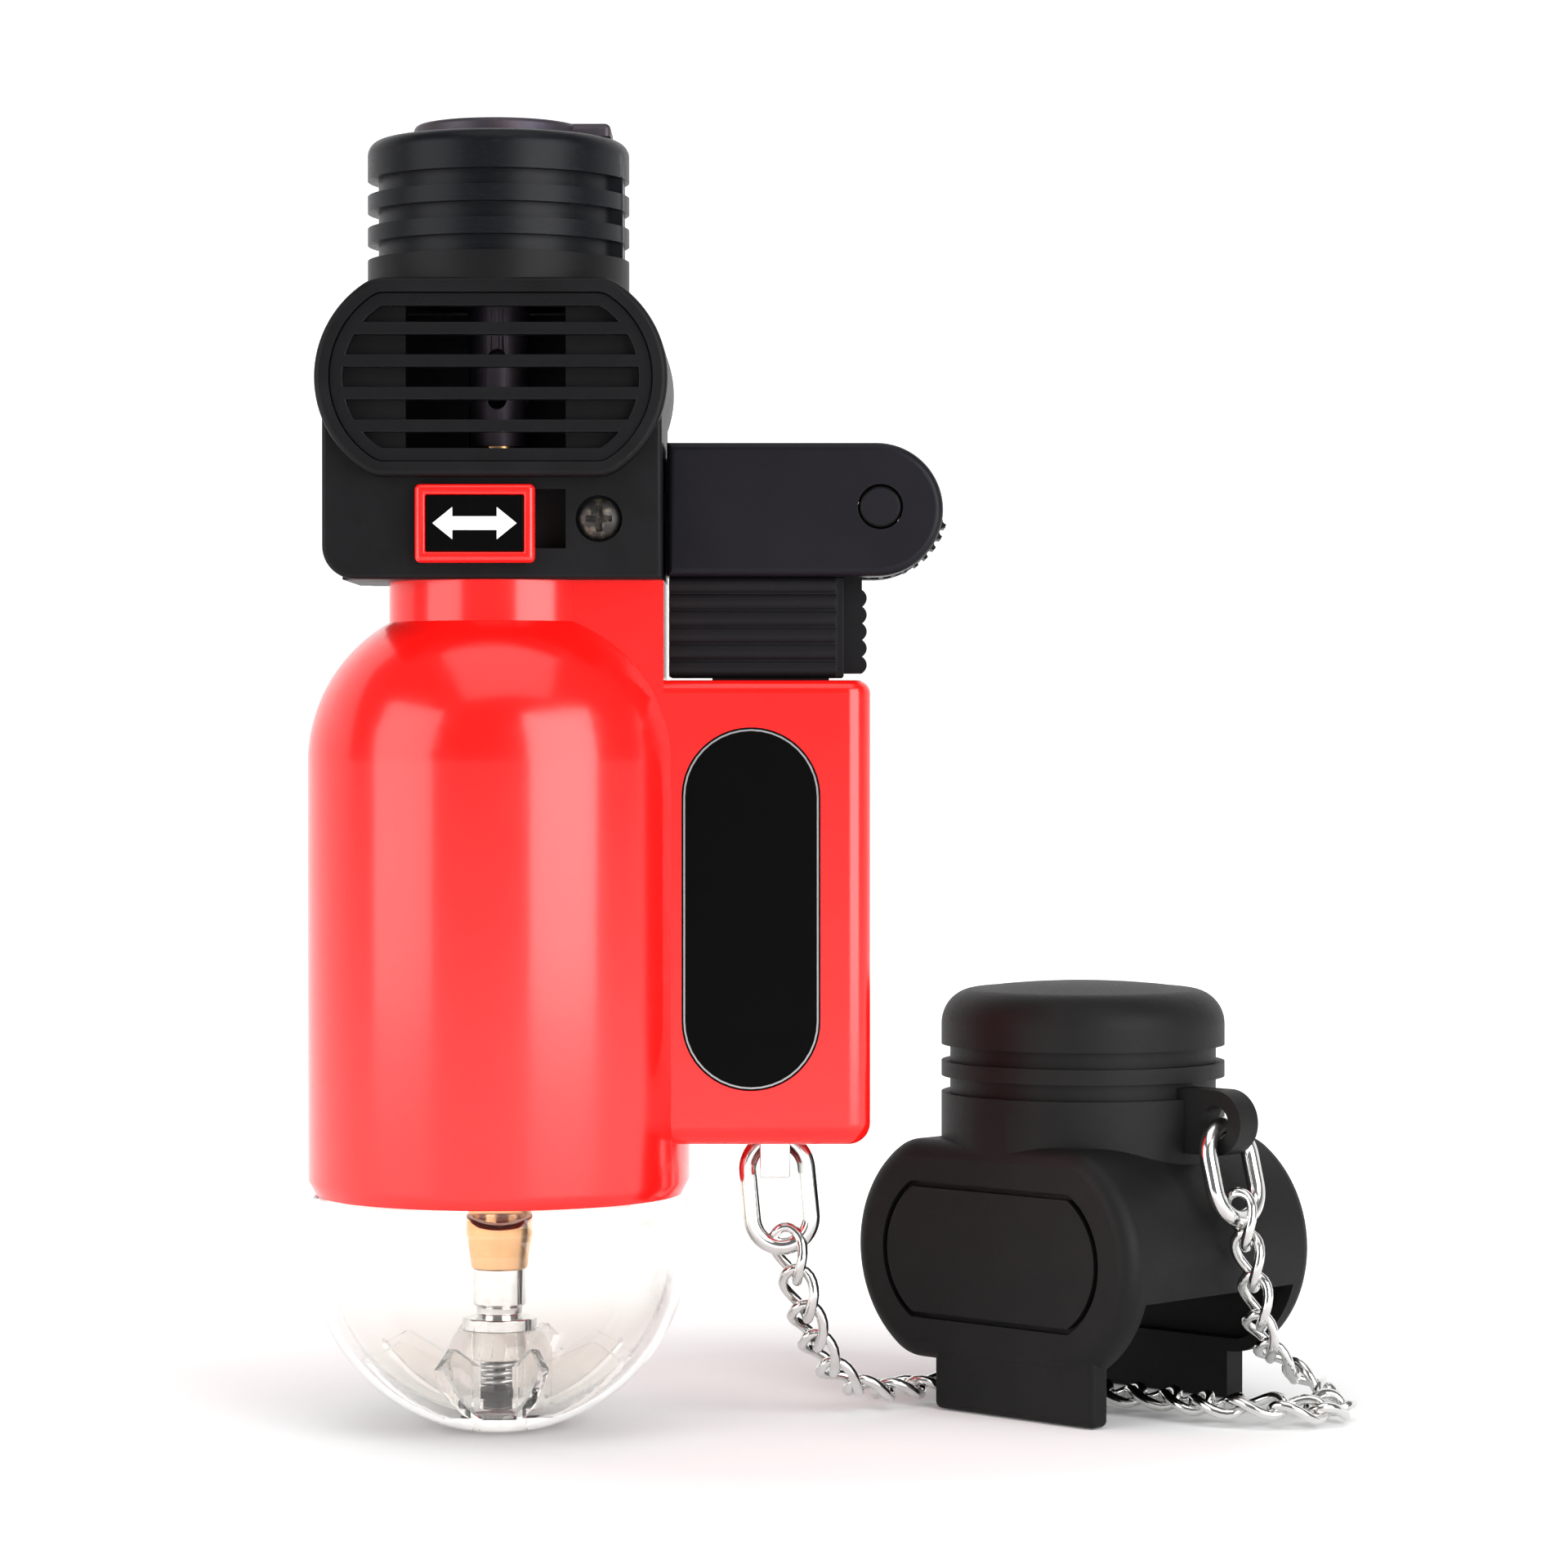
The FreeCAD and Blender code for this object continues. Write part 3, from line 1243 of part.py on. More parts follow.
# ---------------------------------------------------------------- piezo igniter
igniter = turned("igniter_solid", [
    (0, S.cavity_floor), (S.piezo_radius, S.cavity_floor), (S.piezo_radius, S.piezo_top),
    (S.rod_radius + S.pin_gap, S.piezo_top), (S.rod_radius + S.pin_gap, S.piezo_top - 14),
    (0, S.piezo_top - 14),
])
node("piezo_igniter", place(igniter, x=S.piezo_place))
hammer = turned("hammer_solid", [
    (0, S.piezo_top - 8), (S.rod_radius, S.piezo_top - 8), (S.rod_radius, S.rod_flange_low),
    (S.rod_flange, S.rod_flange_low), (S.rod_flange, S.well_floor), (0, S.well_floor),
])
node("piezo_rod", place(hammer, x=S.piezo_place))
node("return_spring", coil("return_spring", 3.7, 0.42, plain(S.piezo_top), plain(S.rod_flange_low),
                           4, plain(S.piezo_place)))

# ---------------------------------------------------------------- staple, rings and chain
staple_bar = block("staple_bar", staple_x, (-half_span, half_span),
                   (S.handle_foot - S.staple_drop, S.cavity_floor))
staple_gap = block("staple_gap", (staple_x[0] - 1, staple_x[1] + 1),
                   (-half_span + S.staple_thick, half_span - S.staple_thick),
                   (S.handle_foot - S.staple_drop + S.staple_thick, S.cavity_floor + 1))
node("chain_staple", cut("chain_staple", staple_bar, staple_gap))


def oval_ring(name, half_width, half_height, wire):
    """A closed oval ring of round wire in the XZ plane: straight sides, half-round ends."""
    bend = half_width - wire
    straight = half_height - half_width
    top = Part.makeTorus(bend, wire, Vector(0, 0, 0), Vector(0, 1, 0))
    keep_top = Part.makeBox(40, 40, 20, Vector(-20, -20, 0))
    keep_low = Part.makeBox(40, 40, 20, Vector(-20, -20, -20))
    upper, lower = top.common(keep_top), top.common(keep_low)
    upper.translate(Vector(0, 0, straight))
    lower.translate(Vector(0, 0, -straight))
    sides = [Part.makeCylinder(wire, 2 * straight, Vector(x, 0, -straight)) for x in (-bend, bend)]
    solid = doc.addObject("Part::Feature", name)
    solid.Shape = upper.fuse([lower, *sides]).removeSplitter()
    return solid


staple_floor = plain(S.handle_foot - S.staple_drop + S.staple_thick)
ring_top = staple_floor + 1.4
ring_rise = plain(S.ring_half_height) - 2 * plain(S.ring_wire)
hang = Vector(plain(S.staple_place), 0, ring_top)
lean = Rotation(Vector(0, 1, 0), -plain(S.ring_lean))
ring_centre = hang + lean.multVec(Vector(0, 0, -ring_rise))
first_ring = oval_ring("staple_ring", plain(S.ring_half_width), plain(S.ring_half_height),
                       plain(S.ring_wire))
node("staple_ring", first_ring, Placement(ring_centre, lean))

# The rubber cap stands beside the torch, turned away from it.
cap_turn = Rotation(Vector(0, 0, 1), plain(S.cap_turn))
cap_spot = Vector(plain(S.cap_place_x), plain(S.cap_place_y), 0)
cap_placement = Placement(cap_spot, cap_turn)
cap_level = S.duct_level - S.cap_drop
cap_skin = S.cap_wall + S.cap_fit
cap_top = collar_top_level + 0.2 + S.cap_dome - S.cap_drop
lobe_depth = S.duct_half_depth + cap_skin
cap_tube_radius = S.guard_radius + cap_skin


def low_oval(inset):
    """The duct's outline at the height where it lies in the standing cap."""
    return [(p[0], p[1] - S.cap_drop) + tuple(p[2:]) for p in oval(inset)]


lobes = across("lobes", low_oval(-cap_skin), lobe_depth * 2)
round_edges(lobes, 1.6, at_faces(plain(lobe_depth)))
groove_radius = cap_tube_radius - 0.75
cap_band = cap_top - 6.8
cap_edge = 3.0
cap_outline = [(0, cap_level), (cap_tube_radius, cap_level)]
for i in range(2):
    foot = cap_band - 2.7 * (1 - i)
    cap_outline += [(cap_tube_radius, foot), (groove_radius, foot), (groove_radius, foot + 1.4),
                    (cap_tube_radius, foot + 1.4)]
crown_rise = 0.6
crown_reach = cap_tube_radius - cap_edge
crown = (crown_reach * crown_reach + crown_rise * crown_rise) / (2 * crown_rise)
cap_outline += [
    (cap_tube_radius, cap_top - crown_rise - cap_edge, cap_edge),
    (crown_reach, cap_top - crown_rise, crown),
    (0, cap_top),
]
cap_tube = turned("cap_tube", cap_outline)
front_flap = block("front_flap", (S.flap_left, S.flap_right),
                   (-lobe_depth + 0.3, -S.head_half_depth - 0.4), (0.0, cap_level))
front_soft = soften("front_soft", front_flap, 0.6, lambda e: e.BoundBox.ZMin < 0.1 or (
    e.BoundBox.YMax < plain(-lobe_depth) + 0.4))
back_flap = block("back_flap", (S.flap_left, -S.flap_left + 1.5),
                  (S.head_half_depth + 0.4, lobe_depth - 0.3), (0.0, cap_level))
lug_half = S.lug_thick / 2
lug_outer = plain(S.lug_reach)
lug_body = doc.addObject("PartDesign::Body", "lug_body")
lug_sketch = new_sketch(lug_body, "XZ_Plane")
lug_round = 2.75
draw(lug_sketch, [
    (cap_tube_radius - 0.9, S.lug_level - lug_round),
    (S.lug_reach - lug_round, S.lug_level - lug_round, lug_round),
    (S.lug_reach, S.lug_level, lug_round),
    (S.lug_reach - lug_round, S.lug_level + lug_round),
    (cap_tube_radius - 0.9, S.lug_level + lug_round),
])
ring(lug_sketch, S.lug_reach - lug_round, S.lug_level, S.lug_hole)
lug_pad = lug_body.newObject("PartDesign::Pad", "Pad")
lug_pad.Profile = lug_sketch
lug_pad.Midplane = True
bind(lug_pad, "Length", S.lug_thick)
cap_solid = fuse("cap_solid", lobes, cap_tube, front_soft, back_flap, lug_body)
lobe_hollow = across("lobe_hollow", low_oval(-S.cap_fit), (S.duct_half_depth + S.cap_fit) * 2)
tube_hollow = rod("tube_hollow", S.guard_radius + S.cap_fit, cap_top - S.cap_dome - crown_rise - cap_level,
                  z=cap_level)
block_hollow = block("block_hollow", (-half_head - S.cap_fit, half_head + 6),
                     (-S.head_half_depth - 0.4, S.head_half_depth + 0.4), (-1.0, cap_level - 3))
arm_hollow = block("arm_hollow", (half_head - 2, half_head + 6), (-half_lever - 0.4, half_lever + 0.4),
                   (-1.0, lever_high + 0.3 - S.cap_drop))
panel_line = cut("panel_line", across("panel_outer", low_oval(S.duct_wall + 1.0), 1.4),
                 across("panel_inner", low_oval(S.duct_wall + 1.5), 3))
panel_groove = place(panel_line, y=-lobe_depth)
cap = cut("cap", cap_solid, lobe_hollow, tube_hollow, block_hollow, arm_hollow, panel_groove)
node("cap", cap, cap_placement)

hole = Vector(plain(S.lug_reach) - lug_round, 0, plain(S.lug_level))
ring_wire = plain(S.ring_wire)
drop = plain(S.lug_hole) - ring_wire - 0.42
ring_hang = plain(S.cap_ring_half_height) - ring_wire
splay = Rotation(Vector(0, 1, 0), -plain(S.cap_ring_lean))
ring_local = Placement(hole - Vector(0, 0, drop) + splay.multVec(Vector(0, 0, -ring_hang)),
                       splay.multiply(Rotation(Vector(0, 0, 1), 90)))
second_ring = oval_ring("cap_ring", plain(S.cap_ring_half_width), plain(S.cap_ring_half_height), ring_wire)
node("cap_ring", second_ring, cap_placement.multiply(ring_local))

# A curb chain joins the two rings. Each link is an oval of wire twisted by a quarter turn, so
# that its two ends seat in their neighbours. Its wire has six flats, which keeps it light.


def link_point(turn):
    """A point on the middle line of a link, and the way outwards from its axis there."""
    roll = math.radians(plain(S.link_twist)) * math.cos(turn)
    side = math.sin(turn)
    width, length = plain(S.link_half_width), plain(S.link_half_length)
    across_link = Vector(side * math.cos(roll), side * math.sin(roll), 0)
    along_link = Vector(0, 0, math.cos(turn))
    return across_link * width + along_link * length, across_link * length + along_link * width


def twisted_link():
    """One link about its own centre, lying along Z."""
    stations, step = 12, 0.01
    rings = []
    for i in range(stations):
        turn = 2 * math.pi * i / stations
        centre, outward = link_point(turn)
        tangent = (link_point(turn + step)[0] - link_point(turn - step)[0]).normalize()
        rings.append(wire_ring(centre, outward, tangent, plain(S.link_wire)))
    return flat_sided(rings, True)


chain_top = plain(S.handle_foot)
chain_route = [
    (24.2, 0.1, chain_top - 9.6), (25.3, 0.9, chain_top - 13.8), (26.5, 3.8, chain_top - 17.6), (28.9, 6.6, 3.0), (31.5, 8.9, 1.8),
    (34.6, 11.7, 1.6), (38.1, 13.3, 1.6), (41.2, 13.6, 1.6), (46.3, 11.8, 1.6), (49.4, 9.9, 1.6),
    (52.9, 7.1, 1.6), (57.0, 4.0, 1.6), (59.8, 0.9, 1.6), (63.8, -0.9, 1.8), (67.5, -0.6, 1.4),
    (69.9, 3.3, 1.6), (69.5, 6.2, 2.0), (67.1, 5.7, 3.7), (64.7, 4.7, 5.6), (63.8, 2.7, 7.9),
    (62.4, 1.8, 15.0), (62.0, 1.6, 17.0),
]
link_pitch = 3.52
link_roll = 45.0


def chain_links():
    """The links along the route, each turned with it."""
    route = [Vector(*spot) for spot in chain_route]
    run = [0.0]
    for near, far in zip(route, route[1:]):
        run.append(run[-1] + (far - near).Length)
    line = Part.BSplineCurve()
    line.interpolate(Points=route, Parameters=run)
    edge = line.toShape()
    count = round(edge.Length / link_pitch)
    spots = edge.discretize(Number=count + 1)
    link = twisted_link()
    side = Vector(0, 1, 0)
    links = []
    for i, spot in enumerate(spots):
        before = spots[max(i - 1, 0)]
        after = spots[min(i + 1, count)]
        new_way = (before - after).normalize()
        side = (side - new_way * side.dot(new_way)).normalize()
        front = new_way.cross(side)
        turn = Rotation(side, front, new_way, "ZXY")
        placed = link.copy()
        placed.Placement = Placement(spot, turn.multiply(Rotation(Vector(0, 0, 1), link_roll)))
        links.append(placed)
    return links


chain = doc.addObject("Part::Feature", "cap_chain")
chain.Shape = Part.makeCompound(chain_links())
node("cap_chain", chain)

# ---------------------------------------------------------------- checks and files
doc.recompute()
for item in doc.Objects:
    if "Invalid" in item.State or "Error" in item.State:
        raise RuntimeError(f"{item.Name} failed: {item.State}")
os.makedirs("parts", exist_ok=True)
for solid in NODES:
    if solid.Shape.isNull() or not solid.Shape.isValid():
        raise RuntimeError(f"{solid.Label} has no valid shape")
    solid.Shape.exportStep(f"parts/{solid.Label}.step")
    print(f"{solid.Label}: {len(solid.Shape.Solids)} solid(s), {solid.Shape.Volume:.1f} mm3")
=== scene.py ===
import json
import math

import bmesh
import bpy
from mathutils import Matrix, Vector


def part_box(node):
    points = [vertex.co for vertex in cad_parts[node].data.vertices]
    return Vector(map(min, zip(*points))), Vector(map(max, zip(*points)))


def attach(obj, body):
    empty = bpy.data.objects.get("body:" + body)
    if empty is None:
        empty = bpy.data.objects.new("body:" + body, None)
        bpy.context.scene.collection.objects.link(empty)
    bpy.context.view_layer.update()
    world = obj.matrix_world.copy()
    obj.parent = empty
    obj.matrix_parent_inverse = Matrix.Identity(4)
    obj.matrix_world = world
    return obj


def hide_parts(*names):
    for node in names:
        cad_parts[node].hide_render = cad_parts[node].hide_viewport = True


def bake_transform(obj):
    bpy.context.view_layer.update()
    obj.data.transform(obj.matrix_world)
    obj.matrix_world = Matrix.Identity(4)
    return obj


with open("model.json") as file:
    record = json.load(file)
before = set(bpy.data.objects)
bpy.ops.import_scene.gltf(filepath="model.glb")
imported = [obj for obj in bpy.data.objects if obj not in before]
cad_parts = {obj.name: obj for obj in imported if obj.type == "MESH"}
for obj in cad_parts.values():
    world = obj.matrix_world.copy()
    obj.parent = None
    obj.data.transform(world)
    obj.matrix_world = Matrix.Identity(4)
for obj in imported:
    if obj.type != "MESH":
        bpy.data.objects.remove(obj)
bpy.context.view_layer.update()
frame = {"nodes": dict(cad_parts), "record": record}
record = frame["record"]

# ---------------------------------------------------------------- the studio
# The torch stands on a pale glowing paper sheet that curves up behind it, with a painted shadow
# near its foot.
# Two tall soft boxes, at the left and the right of the lens, give the long bands on the red
# barrel, and a wide one overhead lifts the black mouldings off the ground.
scene = bpy.context.scene
scene.view_settings.view_transform = "Standard"

lens = bpy.data.cameras.new("lens")
lens.lens = 104.3
lens.clip_start, lens.clip_end = 0.01, 20
camera = bpy.data.objects.new("camera", lens)
camera.location = (0.0237, -0.378, 0.0581)
camera.rotation_euler = (math.radians(89.38), 0, 0)
scene.collection.objects.link(camera)
scene.camera = camera

sheet_front, sheet_back, sheet_top, sheet_half = -9.0, 1.2, 2.2, 9.0
bend_radius, bend_steps, below_foot = 0.5, 16, 0.0001
profile = [(sheet_front, 0.0)]
for step in range(bend_steps + 1):
    turn = math.radians(90 * step / bend_steps)
    profile.append((sheet_back - bend_radius + bend_radius * math.sin(turn),
                    bend_radius * (1 - math.cos(turn))))
profile.append((sheet_back, sheet_top))
corners = [(x, y, z - below_foot) for y, z in profile for x in (-sheet_half, sheet_half)]
strips = [(2 * i, 2 * i + 1, 2 * i + 3, 2 * i + 2) for i in range(len(profile) - 1)]
sheet_mesh = bpy.data.meshes.new("paper_sheet")
sheet_mesh.from_pydata(corners, [], strips)
sheet_mesh.shade_smooth()
paper = bpy.data.objects.new("paper_sheet", sheet_mesh)
scene.collection.objects.link(paper)
paper_finish = bpy.data.materials.new("pale_paper")
paper_finish.use_nodes = True
paper_nodes = paper_finish.node_tree
paper_surface = paper_nodes.nodes["Principled BSDF"]
for end, value in (("Base Color", (0.90, 0.90, 0.90, 1)), ("Roughness", 0.8),
                   ("Specular IOR Level", 0.0), ("Emission Strength", 0.62)):
    paper_surface.inputs[end].default_value = value
paper_place = paper_nodes.nodes.new("ShaderNodeTexCoord")
away = paper_nodes.nodes.new("ShaderNodeVectorMath")
away.operation = "DISTANCE"
# The paper's glow is lowest round this point by the torch's foot: a painted shadow on the floor.
shade_middle = (0.03, 0.01, 0.0)
away.inputs[1].default_value = shade_middle
painted_shadow_glow = paper_nodes.nodes.new("ShaderNodeMapRange")
for end, value in (("From Min", 0.035), ("From Max", 0.12), ("To Min", 0.12), ("To Max", 1.0)):
    painted_shadow_glow.inputs[end].default_value = value
paper_nodes.links.new(paper_place.outputs["Object"], away.inputs[0])
paper_nodes.links.new(away.outputs["Value"], painted_shadow_glow.inputs["Value"])
paper_nodes.links.new(painted_shadow_glow.outputs[0], paper_surface.inputs["Emission Color"])
sheet_mesh.materials.append(paper_finish)

sky = bpy.data.worlds.new("studio_air")
sky.use_nodes = True
air = sky.node_tree.nodes["Background"]
air.inputs["Color"].default_value = (1, 1, 1, 1)
air.inputs["Strength"].default_value = 0.18
scene.world = sky


def soft_box(name, azimuth, distance, level, width, height, power):
    """A soft box at an azimuth from the lens's side, turned to face the torch."""
    light = bpy.data.lights.new(name, "AREA")
    light.shape, light.size, light.size_y, light.energy = "RECTANGLE", width, height, power
    holder = bpy.data.objects.new(name, light)
    turn = math.radians(azimuth)
    holder.location = (distance * math.sin(turn), -distance * math.cos(turn), level)
    barrel_middle = Vector((0, 0, 0.05))
    aim = barrel_middle - holder.location
    holder.rotation_euler = aim.to_track_quat("-Z", "Y").to_euler()
    scene.collection.objects.link(holder)


soft_box("left_box", azimuth=-56, distance=0.46, level=0.13, width=0.34, height=0.46, power=1.5)
soft_box("right_box", azimuth=42, distance=0.46, level=0.13, width=0.36, height=0.46, power=2.7)
soft_box("top_box", azimuth=10, distance=0.30, level=1.00, width=0.90, height=0.90, power=3.6)

# ---------------------------------------------------------------- clear fuel tank
# The tank is one clear polycarbonate moulding: a dome that shows below the red body and a
# sleeve inside it. It is polished, with faint flow marks, and a moulded lid closes its top.


class Signal:
    """A number or colour on its way to a finish. Sums on it add the nodes that work them out."""

    def __init__(self, tree, socket):
        self.tree, self.socket = tree, socket

    def worked(self, operation, *terms):
        node = self.tree.nodes.new("ShaderNodeMath")
        node.operation = operation
        for end, term in zip(node.inputs, terms):
            if isinstance(term, Signal):
                self.tree.links.new(term.socket, end)
            else:
                end.default_value = term
        return Signal(self.tree, node.outputs[0])

    def __add__(self, other):
        return self.worked("ADD", self, other)

    def __mul__(self, other):
        return self.worked("MULTIPLY", self, other)

    __radd__, __rmul__ = __add__, __mul__


class Finish:
    """A finish in the making, in the object's own metres."""

    def __init__(self, name, **fixed):
        self.material = bpy.data.materials.new(name)
        self.material.use_nodes = True
        self.tree = self.material.node_tree
        self.surface = self.tree.nodes["Principled BSDF"]
        for socket, value in fixed.items():
            self.surface.inputs[socket.replace("_", " ")].default_value = value

    def node(self, kind, settings=None, output=0, **ends):
        """A new node's output. An end is named, or numbered after an underscore."""
        node = self.tree.nodes.new(kind)
        for key, value in (settings or {}).items():
            setattr(node, key, value)
        for key, value in ends.items():
            end = node.inputs[int(key[1:]) if key[1:].isdigit() else key.replace("_", " ")]
            if isinstance(value, Signal):
                self.tree.links.new(value.socket, end)
            else:
                end.default_value = value
        return Signal(self.tree, node.outputs[output])

    def spot(self, stretch=(1, 1, 1)):
        """The place on the object, drawn out along the axes."""
        place = self.node("ShaderNodeTexCoord", output="Object")
        return self.node("ShaderNodeMapping", Vector=place, Scale=stretch)

    def noise(self, size, detail=3.0, stretch=(1, 1, 1)):
        """Noise from 0 to 1 whose largest marks are about this many metres wide."""
        return self.node("ShaderNodeTexNoise", Vector=self.spot(stretch), Scale=1 / size,
                         Detail=detail, Roughness=0.55)

    def ramp(self, value, low, high):
        """The value spread so that low becomes 0 and high becomes 1."""
        return self.node("ShaderNodeMapRange", Value=value, From_Min=low, From_Max=high)

    def feed(self, socket, value):
        self.tree.links.new(value.socket, self.surface.inputs[socket])

    def shades(self, share, first, second):
        """The base colour goes from the first shade to the second with a share from 0 to 1."""
        mix = self.node("ShaderNodeMix", {"data_type": "RGBA"}, output=2,
                        _0=share, _6=(*first, 1), _7=(*second, 1))
        self.feed("Base Color", mix)

    def relief(self, height, depth, strength=1.0, over=None):
        """Small relief of this depth, in metres, on top of any other."""
        ends = {"Height": height, "Distance": depth, "Strength": strength}
        if over:
            ends["Normal"] = over
        return self.node("ShaderNodeBump", **ends)


def body_of(node):
    return next(body for body, members in record["behaviour"]["bodies"].items() if node in members)


def shown(mesh, name, body, finish, stands_for=()):
    """A finished mesh put in the scene on its body, in place of the plain solids it stands for."""
    mesh.materials.clear()
    mesh.materials.append(finish.material)
    piece = bpy.data.objects.new(name, mesh)
    scene.collection.objects.link(piece)
    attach(piece, body)
    if stands_for:
        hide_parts(*stands_for)
    return piece


def eased(mesh, edge, corner=38):
    """The mesh with its sharp edges broken by a small round of this radius, and shaded smooth."""
    rough = bpy.data.objects.new("blank", mesh)
    scene.collection.objects.link(rough)
    if edge:
        rounding = rough.modifiers.new("round", "BEVEL")
        rounding.width, rounding.segments, rounding.limit_method = edge, 2, "ANGLE"
        rounding.angle_limit = math.radians(corner)
        rounding.use_clamp_overlap = True
    mesh.shade_smooth()
    mesh.set_sharp_from_angle(angle=math.radians(corner))
    even = rough.modifiers.new("even", "WEIGHTED_NORMAL")
    even.keep_sharp = True
    state = bpy.context.evaluated_depsgraph_get()
    done = bpy.data.meshes.new_from_object(rough.evaluated_get(state))
    bpy.data.objects.remove(rough)
    return done


def moulded(node, name, finish, edge=0.0, corner=38):
    """A node's own shape, merged, with eased edges and smooth faces, in its finish."""
    same_corner, flat_angle = 3e-6, math.radians(0.4)
    shape = bmesh.new()
    shape.from_mesh(frame["nodes"][node].data)
    bmesh.ops.remove_doubles(shape, verts=shape.verts, dist=same_corner)
    bmesh.ops.dissolve_limit(shape, angle_limit=flat_angle, verts=shape.verts, edges=shape.edges)
    mesh = bpy.data.meshes.new(name)
    shape.to_mesh(mesh)
    shape.free()
    return shown(eased(mesh, edge, corner), name, body_of(node), finish, [node])


clear = Finish("clear_polycarbonate", Roughness=0.02, IOR=1.07, Transmission_Weight=1.0,
               Coat_Weight=0.7, Coat_Roughness=0.03)
flow = clear.noise(0.009, 2, (1, 1, 0.4))
clear.shades(clear.noise(0.006, 3), (0.99, 0.985, 0.965), (0.975, 0.955, 0.935))
clear.feed("Normal", clear.relief(flow, 0.00006, 0.35))
moulded("fuel_tank", "clear_dome", clear)
moulded("tank_lid", "tank_lid_moulding", clear)

# ---------------------------------------------------------------- filler valve
# A steel valve body stands in the dome's boss, with a brass cup pressed on its top and a black
# stem through it that a gas can's nozzle pushes up.
nickel = Finish("nickel_plate", Metallic=1.0)
handling = nickel.noise(0.0016, 4)
nickel.feed("Roughness", 0.08 + 0.16 * nickel.ramp(handling, 0.35, 0.75))
nickel.shades(nickel.ramp(handling, 0.5, 0.8), (0.74, 0.74, 0.73), (0.60, 0.58, 0.55))
nickel.feed("Normal", nickel.relief(nickel.noise(0.0005, 3), 0.000004, 0.5))

brass = Finish("turned_brass", Metallic=1.0)
turning = brass.noise(0.0007, 3, (0.15, 0.15, 6))
brass.feed("Roughness", 0.14 + 0.2 * turning)
brass.shades(brass.noise(0.002, 3), (0.94, 0.60, 0.32), (0.80, 0.42, 0.18))
brass.feed("Normal", brass.relief(turning, 0.000012, 0.6))

wire = Finish("drawn_spring_wire", Base_Color=(0.52, 0.52, 0.54, 1), Metallic=1.0)
wire.feed("Roughness", 0.2 + 0.2 * wire.noise(0.0008, 3))
wire.feed("Normal", wire.relief(wire.noise(0.0003, 2), 0.000004, 0.5))

satin_black = Finish("satin_black_moulding", Specular_IOR_Level=0.13)
grain = satin_black.noise(0.00022, 2)
breath = satin_black.noise(0.006, 4)
satin_black.feed("Roughness", 0.36 + 0.1 * breath + 0.06 * grain)
satin_black.shades(satin_black.ramp(breath, 0.35, 0.7),
                   (0.0038, 0.0038, 0.0043), (0.0064, 0.0064, 0.0074))
satin_black.feed("Normal", satin_black.relief(grain, 0.00001, 0.45))

moulded("filler_valve", "filler_valve_body", nickel, 0.00008)
moulded("filler_cup", "filler_brass_cup", brass, 0.00008)
moulded("filler_stem", "filler_black_stem", satin_black)
moulded("filler_spring", "filler_coil", wire, corner=70)

# ---------------------------------------------------------------- red body and label
# The body is a glossy red moulding: a bottle-shaped barrel and a flat hollow handle joined by a
# web. Its label is a thin black plate with a silver edge, pressed into a shallow recess.
red = Finish("glossy_red_moulding", Coat_Weight=0.2, Coat_Roughness=0.08, Specular_IOR_Level=0.5)
cloud = red.noise(0.011, 3)
skin = red.noise(0.0011, 2)
red.shades(red.ramp(cloud, 0.3, 0.72), (0.91, 0.0055, 0.0045), (0.95, 0.0085, 0.0070))
red.feed("Roughness", 0.16 + 0.06 * cloud + 0.03 * skin)
red.feed("Normal", red.relief(skin, 0.000012, 0.35, red.relief(red.noise(0.014, 2), 0.00004, 0.3)))
moulded("body_shell", "red_body", red, 0.0002)

foil = Finish("black_label_foil", Specular_IOR_Level=0.05)
weave = foil.noise(0.00035, 3, (1, 1, 3))
foil.feed("Roughness", 0.24 + 0.16 * weave)
foil.shades(foil.noise(0.004, 3), (0.0008, 0.0008, 0.0008), (0.0014, 0.0014, 0.0014))
foil.feed("Normal", foil.relief(weave, 0.000006, 0.5))
moulded("label_plate", "label_black_plate", foil, 0.0001)

silver = Finish("silver_edge_print", Base_Color=(0.42, 0.42, 0.43, 1), Metallic=0.9)
silver.feed("Roughness", 0.2 + 0.2 * silver.noise(0.0006, 3))


def stadium(half_width, half_height, steps=20):
    """Points round an upright outline with half-round ends, about its own middle."""
    points = []
    for end, start in ((1, 0), (-1, 180)):
        for step in range(steps + 1):
            turn = math.radians(start + 180 * step / steps)
            points.append((half_width * math.cos(turn),
                           end * (half_height - half_width) + half_width * math.sin(turn)))
    return points


def facing_out(name, points, faces):
    """A closed mesh from corners and faces, all turned outwards."""
    mesh = bpy.data.meshes.new(name)
    mesh.from_pydata(points, [], faces)
    shape = bmesh.new()
    shape.from_mesh(mesh)
    bmesh.ops.recalc_face_normals(shape, faces=shape.faces)
    shape.to_mesh(mesh)
    shape.free()
    return mesh


def raised_line(name, outer, inner, centre, front, rise):
    """A flat closed line between two outlines on a face that looks towards -Y."""
    count = len(outer)
    points = []
    face = front - rise
    for outline, depth in ((outer, front), (outer, face), (inner, face), (inner, front)):
        points += [(centre[0] + x, depth, centre[1] + z) for x, z in outline]
    faces = []
    for ring in range(4):
        for k in range(count):
            after = (k + 1) % count
            near, far = ring * count, (ring + 1) % 4 * count
            faces.append((near + k, near + after, far + after, far + k))
    return facing_out(name, points, faces)


label_low, label_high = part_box("label_plate")
half_width, half_height = (label_high.x - label_low.x) / 2, (label_high.z - label_low.z) / 2
label_centre = ((label_high.x + label_low.x) / 2, (label_high.z + label_low.z) / 2)
edge_outer, edge_inner, edge_rise = 0.00012, 0.00026, 0.00003
edge_line = raised_line("label_edge", stadium(half_width - edge_outer, half_height - edge_outer),
                        stadium(half_width - edge_inner, half_height - edge_inner),
                        label_centre, label_low.y, edge_rise)
shown(edge_line, "label_silver_edge", "torch", silver)

